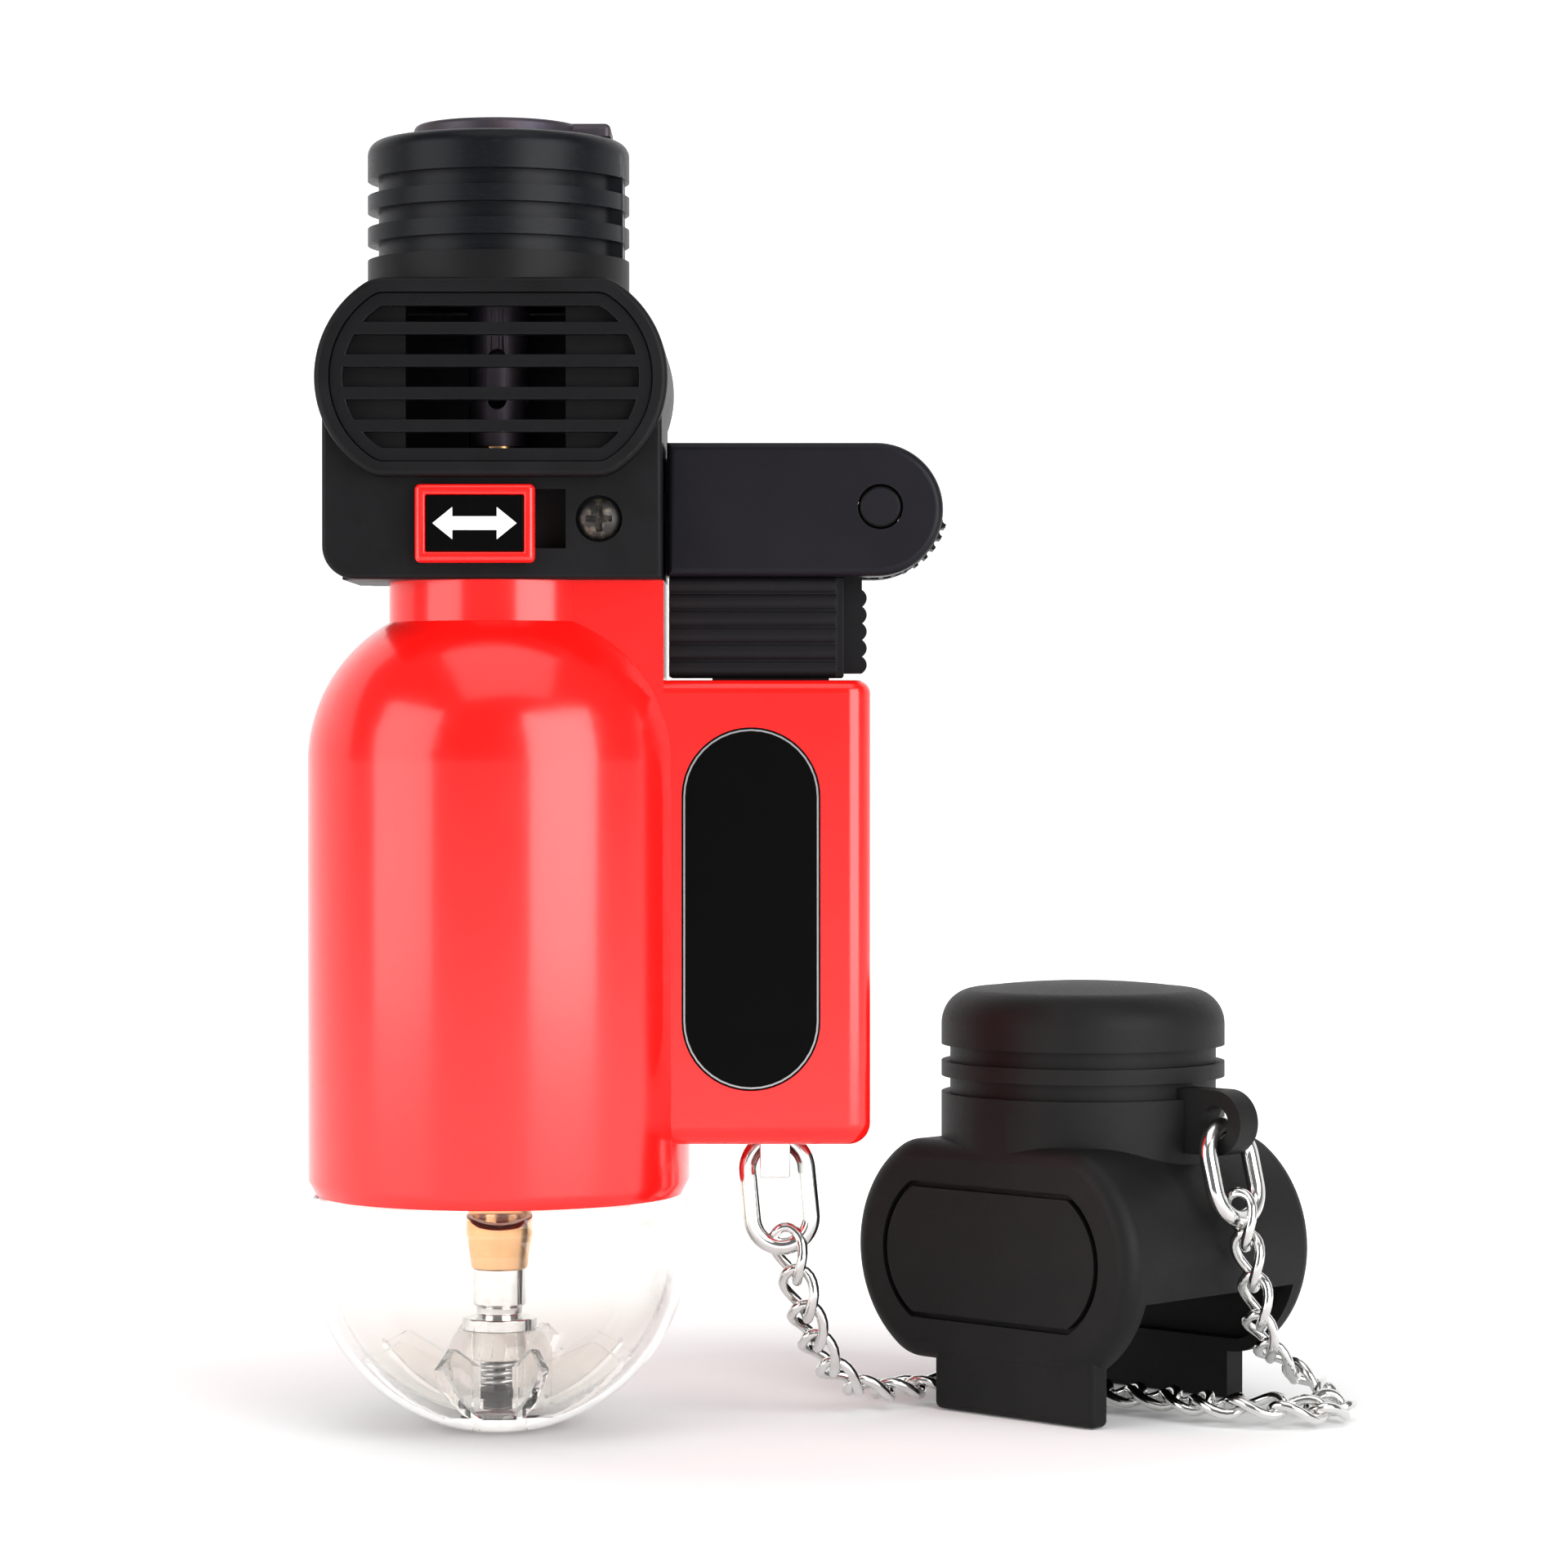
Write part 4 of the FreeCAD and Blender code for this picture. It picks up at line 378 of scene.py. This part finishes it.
# ---------------------------------------------------------------- burner head
# The head is a black moulded block under an oval air duct. A moulded grille of level slats is
# pressed into each end of the duct, and the brass gas nozzle shows through the front one.
moulded("head_shell", "head_housing", satin_black, 0.00015)

grille_black = Finish("grille_black", Specular_IOR_Level=0.15)
grille_grain = grille_black.noise(0.00025, 2)
grille_black.feed("Roughness", 0.26 + 0.12 * grille_grain)
grille_black.shades(grille_black.noise(0.003, 3),
                    (0.0046, 0.0046, 0.0054), (0.0074, 0.0074, 0.0082))
grille_black.feed("Normal", grille_black.relief(grille_grain, 0.000008, 0.5))
moulded("front_grille", "grille_front", grille_black, 0.00012)
moulded("rear_grille", "grille_rear", grille_black, 0.00012)
moulded("burner_carrier", "burner_carrier_moulding", satin_black)
moulded("gas_nozzle", "brass_gas_nozzle", brass, 0.00008)

# ---------------------------------------------------------------- flame guard and burner
# A ribbed black tube guards the flame. Inside it stand the burner tube, its pierced plate, the
# dark heat-tinted collar with its flat tab, and the spark electrode in its ceramic sleeve.
guard_black = Finish("guard_enamel", Specular_IOR_Level=0.15)
scuff = guard_black.noise(0.0009, 4, (1, 1, 5))
guard_black.feed("Roughness", 0.28 + 0.2 * scuff)
guard_black.shades(guard_black.ramp(scuff, 0.55, 0.8),
                   (0.0032, 0.0036, 0.0052), (0.0080, 0.0085, 0.0110))
guard_black.feed("Normal", guard_black.relief(scuff, 0.000008, 0.4))
moulded("flame_guard", "ribbed_flame_guard", guard_black, 0.00018)

heated = Finish("heat_tinted_steel", Metallic=0.75)
tint = heated.noise(0.004, 3)
heated.shades(heated.ramp(tint, 0.35, 0.7), (0.075, 0.058, 0.066), (0.045, 0.042, 0.060))
heated.feed("Roughness", 0.36 + 0.22 * heated.noise(0.0008, 3))
heated.feed("Normal", heated.relief(heated.noise(0.0004, 3), 0.00001, 0.5))
moulded("burner_collar", "burner_collar_disc", heated, 0.00015)
moulded("burner_tube", "burner_steel_tube", heated)
moulded("flame_plate", "pierced_flame_plate", heated)
moulded("electrode", "spark_electrode", wire)
ceramic = Finish("bare_ceramic", Roughness=0.6)
ceramic.shades(ceramic.noise(0.0015, 3), (0.80, 0.78, 0.73), (0.66, 0.62, 0.55))
ceramic.feed("Normal", ceramic.relief(ceramic.noise(0.0002, 2), 0.00001, 0.5))
moulded("insulator", "spark_insulator", ceramic)

# ---------------------------------------------------------------- lock slider and screw
# A red slide locks the lever. It frames a black plate with a white double arrow, and a dark
# cross-head screw beside it holds the head together.
moulded("lock_slider", "lock_slide_frame", red, 0.00018)
moulded("slider_plate", "lock_slide_plate", foil, 0.00008)
white = Finish("white_print", Roughness=0.45)
speck = white.noise(0.0004, 3)
white.shades(white.ramp(speck, 0.6, 0.8), (0.88, 0.88, 0.88), (0.70, 0.70, 0.70))
white.feed("Normal", white.relief(speck, 0.000004, 0.4))
plate_low, plate_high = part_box("slider_plate")
arrow_middle = ((plate_low.x + plate_high.x) / 2, (plate_low.z + plate_high.z) / 2)
arrow_half, head_back, head_half, shaft_half = 0.0034, 0.0018, 0.0013, 0.00055
outline = []
for side in (1, -1):
    outline += [(side * head_back, -side * shaft_half), (side * head_back, -side * head_half),
                (side * arrow_half, 0), (side * head_back, side * head_half),
                (side * head_back, side * shaft_half)]
print_proud, print_sunk = 0.00004, 0.00005
points = [(arrow_middle[0] + x, depth, arrow_middle[1] + z)
          for depth in (plate_low.y - print_proud, plate_low.y + print_sunk) for x, z in outline]
count = len(outline)
sides = [(k, (k + 1) % count, (k + 1) % count + count, k + count) for k in range(count)]
arrow_faces = [tuple(range(count)), tuple(range(2 * count - 1, count - 1, -1)), *sides]
arrow_mesh = facing_out("double_arrow", points, arrow_faces)
shown(arrow_mesh, "lock_slide_arrow", "slider", white)

screw_black = Finish("blackened_screw", Metallic=0.85)
screw_black.feed("Roughness", 0.26 + 0.25 * screw_black.noise(0.0005, 3))
screw_black.shades(screw_black.ramp(screw_black.noise(0.0007, 3), 0.5, 0.75),
                   (0.035, 0.033, 0.032), (0.16, 0.13, 0.10))
moulded("head_screw", "head_cross_screw", screw_black, 0.00008)

# ---------------------------------------------------------------- thumb lever and safety catch
# The lever is a black arm with a round end over a ribbed push block. The toothed safety catch
# turns on a pin in the arm, and its ribbed leg hangs beside the block.
arm_black = Finish("lever_moulding", Specular_IOR_Level=0.14)
arm_grain = arm_black.noise(0.00022, 2)
arm_cloud = arm_black.noise(0.007, 3)
arm_black.feed("Roughness", 0.30 + 0.08 * arm_cloud + 0.06 * arm_grain)
arm_black.shades(arm_cloud, (0.0058, 0.0051, 0.0077), (0.0080, 0.0072, 0.0102))
arm_black.feed("Normal", arm_black.relief(arm_grain, 0.00001, 0.4))
matte_black = Finish("ribbed_grip_moulding", Specular_IOR_Level=0.14)
tooth_grain = matte_black.noise(0.0003, 3)
matte_black.feed("Roughness", 0.42 + 0.14 * tooth_grain)
matte_black.shades(matte_black.noise(0.004, 3), (0.0042, 0.0036, 0.0046), (0.0066, 0.0058, 0.0070))
matte_black.feed("Normal", matte_black.relief(tooth_grain, 0.000015, 0.5))
moulded("thumb_lever", "lever_arm", arm_black, 0.00018)
# The pin cap goes near-black beyond a ring round its axis: a painted shadow where the pin's rim
# meets the arm.
pin_black = Finish("lever_pin_moulding", Specular_IOR_Level=0.14)
pin_axis, shadow_ring_start, shadow_ring_full = (0.0316, 0, 0.07625), 0.00146, 0.00152
from_axis = pin_black.node("ShaderNodeVectorMath", {"operation": "DISTANCE"}, output="Value",
                           _0=pin_black.spot((1, 0, 1)), _1=pin_axis)
pin_black.shades(pin_black.ramp(from_axis, shadow_ring_start, shadow_ring_full),
                 (0.0074, 0.0066, 0.0095), (0.0003, 0.0003, 0.0003))
pin_black.feed("Roughness", 0.34 + 0.1 * pin_black.noise(0.0009, 3))
moulded("lever_pin", "lever_pin_cap", pin_black, 0.00032)
moulded("lever_plunger", "ribbed_push_block", matte_black, 0.0001)
moulded("safety_catch", "toothed_safety_catch", matte_black, 0.0001)
moulded("catch_spring", "catch_coil", wire, corner=70)
moulded("flame_adjuster", "flame_adjusting_lever", satin_black, 0.00015)

# ---------------------------------------------------------------- works inside the torch
# The gas valve, its stem and rocking lever, and the piezo igniter with its rod, spring and lead
# sit inside the mouldings and show only in gaps.
moulded("gas_valve", "brass_gas_valve", brass)
moulded("valve_stem", "brass_valve_stem", brass)
moulded("gas_lever", "gas_rocking_lever", heated)
moulded("gas_lever_pin", "gas_lever_steel_pin", wire)
moulded("piezo_igniter", "piezo_case", matte_black)
moulded("piezo_rod", "piezo_striking_rod", matte_black)
moulded("return_spring", "lever_return_coil", wire, corner=70)
moulded("ignition_lead", "ignition_cable", satin_black)

# ---------------------------------------------------------------- staple, rings and chain
# A plated staple under the handle carries an oval wire ring, and a curb chain of twisted links
# joins it to the ring in the cap's lug. Each link is a smooth wire loop, closed by brazing.
moulded("chain_staple", "handle_staple", nickel, 0.0001)
moulded("staple_ring", "handle_ring", nickel)
moulded("cap_ring", "cap_lug_ring", nickel)


def link_corners(shape):
    """The corners of each separate link, link by link."""
    links, seen = [], set()
    for first in shape.verts:
        if first in seen:
            continue
        seen.add(first)
        reached, search = [], [first]
        while search:
            corner = search.pop()
            reached.append(corner.co.copy())
            for line in corner.link_edges:
                other = line.other_vert(corner)
                if other not in seen:
                    seen.add(other)
                    search.append(other)
        links.append(reached)
    return links


def main_axes(points):
    """The middle of a link's corners, and its long and wide ways."""
    rounds = 200
    middle = sum(points, Vector()) / len(points)
    arms = [(p - middle) * 1000 for p in points]
    spread = Matrix([[sum(arm[i] * arm[j] for arm in arms) for j in range(3)] for i in range(3)])
    ways = []
    for start in ((0.3, 0.5, 0.8), (0.8, -0.5, 0.3)):
        way = Vector(start)
        for _ in range(rounds):
            for found in ways:
                way = way - found * way.dot(found)
            way = (spread @ way).normalized()
        for found in ways:
            way = (way - found * way.dot(found)).normalized()
        ways.append(way)
    return middle, ways[0], ways[1]


chain_shape = bmesh.new()
chain_shape.from_mesh(frame["nodes"]["cap_chain"].data)
bmesh.ops.remove_doubles(chain_shape, verts=chain_shape.verts, dist=2e-6)
links = [main_axes(points) for points in link_corners(chain_shape)]
chain_shape.free()
link_half_length, link_half_width, link_wire = 0.00236, 0.00148, 0.00044
link_twist = math.radians(45)
stations, flats, small_turn = 28, 10, 0.01
link_points, link_faces = [], []


def link_line(turn):
    """A point on the middle line of a link's wire."""
    roll = link_twist * math.cos(turn)
    return Vector((link_half_width * math.sin(turn) * math.cos(roll),
                   link_half_width * math.sin(turn) * math.sin(roll),
                   link_half_length * math.cos(turn)))


for i in range(stations):
    turn = 2 * math.pi * i / stations
    middle = link_line(turn)
    along = (link_line(turn + small_turn) - link_line(turn - small_turn)).normalized()
    out = (middle - along * middle.dot(along)).normalized()
    side = along.cross(out)
    for k in range(flats):
        angle = 2 * math.pi * k / flats
        link_points.append(middle + (out * math.cos(angle) + side * math.sin(angle)) * link_wire)
        after, far = (k + 1) % flats, (i + 1) % stations * flats
        link_faces.append((i * flats + k, i * flats + after, far + after, far + k))
link_mesh = facing_out("chain_link", link_points, link_faces)
link_mesh.shade_smooth()
link_object = bpy.data.objects.new("chain_link", link_mesh)
scene.collection.objects.link(link_object)

spots_mesh = bpy.data.meshes.new("link_spots")
spots_mesh.from_pydata([middle for middle, _, _ in links], [], [])
for name, aims in (("along", [a for _, a, _ in links]), ("across", [w for _, _, w in links])):
    layer = spots_mesh.attributes.new(name, "FLOAT_VECTOR", "POINT")
    for value, aim in zip(layer.data, aims):
        value.vector = aim
spots = bpy.data.objects.new("link_spots", spots_mesh)
scene.collection.objects.link(spots)

tree = bpy.data.node_groups.new("curb_chain", "GeometryNodeTree")
tree.interface.new_socket("Spots", in_out="INPUT", socket_type="NodeSocketGeometry")
link_input = tree.interface.new_socket("Link", in_out="INPUT", socket_type="NodeSocketObject")
plate_input = tree.interface.new_socket("Plating", in_out="INPUT", socket_type="NodeSocketMaterial")
tree.interface.new_socket("Chain", in_out="OUTPUT", socket_type="NodeSocketGeometry")
entry, leaving = tree.nodes.new("NodeGroupInput"), tree.nodes.new("NodeGroupOutput")
picked = tree.nodes.new("GeometryNodeObjectInfo")
turned = tree.nodes.new("FunctionNodeAxesToRotation")
turned.primary_axis, turned.secondary_axis = "Z", "X"
ways = {}
for name in ("along", "across"):
    ways[name] = tree.nodes.new("GeometryNodeInputNamedAttribute")
    ways[name].data_type = "FLOAT_VECTOR"
    ways[name].inputs["Name"].default_value = name
laid = tree.nodes.new("GeometryNodeInstanceOnPoints")
real = tree.nodes.new("GeometryNodeRealizeInstances")
plated = tree.nodes.new("GeometryNodeSetMaterial")
for start, end in (
        (entry.outputs["Link"], picked.inputs["Object"]),
        (ways["along"].outputs[0], turned.inputs[0]),
        (ways["across"].outputs[0], turned.inputs[1]),
        (entry.outputs["Spots"], laid.inputs["Points"]),
        (picked.outputs["Geometry"], laid.inputs["Instance"]),
        (turned.outputs[0], laid.inputs["Rotation"]),
        (laid.outputs[0], real.inputs[0]),
        (real.outputs[0], plated.inputs["Geometry"]),
        (entry.outputs["Plating"], plated.inputs["Material"]),
        (plated.outputs[0], leaving.inputs[0])):
    tree.links.new(start, end)
chain_maker = spots.modifiers.new("chain", "NODES")
chain_maker.node_group = tree
chain_maker[link_input.identifier] = link_object
chain_maker[plate_input.identifier] = nickel.material
state = bpy.context.evaluated_depsgraph_get()
chain_mesh = bpy.data.meshes.new_from_object(spots.evaluated_get(state))
for spare in (spots, link_object):
    bpy.data.objects.remove(spare)
chain_mesh.shade_smooth()
chain = bpy.data.objects.new("curb_chain_links", chain_mesh)
scene.collection.objects.link(chain)
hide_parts("cap_chain")
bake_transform(chain)

# ---------------------------------------------------------------- rubber cap
# The cap is a matte black rubber moulding that pulls over the whole burner head. It has two
# round lobes for the grilles, a bare oval panel on the front, and a lug for the chain's ring.
rubber = Finish("matte_rubber", Specular_IOR_Level=0.2)
pores = rubber.noise(0.00035, 3)
dust = rubber.noise(0.005, 4)
rubber.shades(rubber.ramp(dust, 0.4, 0.75), (0.0052, 0.0052, 0.0052), (0.0078, 0.0078, 0.0078))
rubber.feed("Roughness", 0.48 + 0.15 * pores)
rubber.feed("Normal", rubber.relief(pores, 0.000015, 0.5))
moulded("cap", "rubber_burner_cap", rubber, 0.00025)
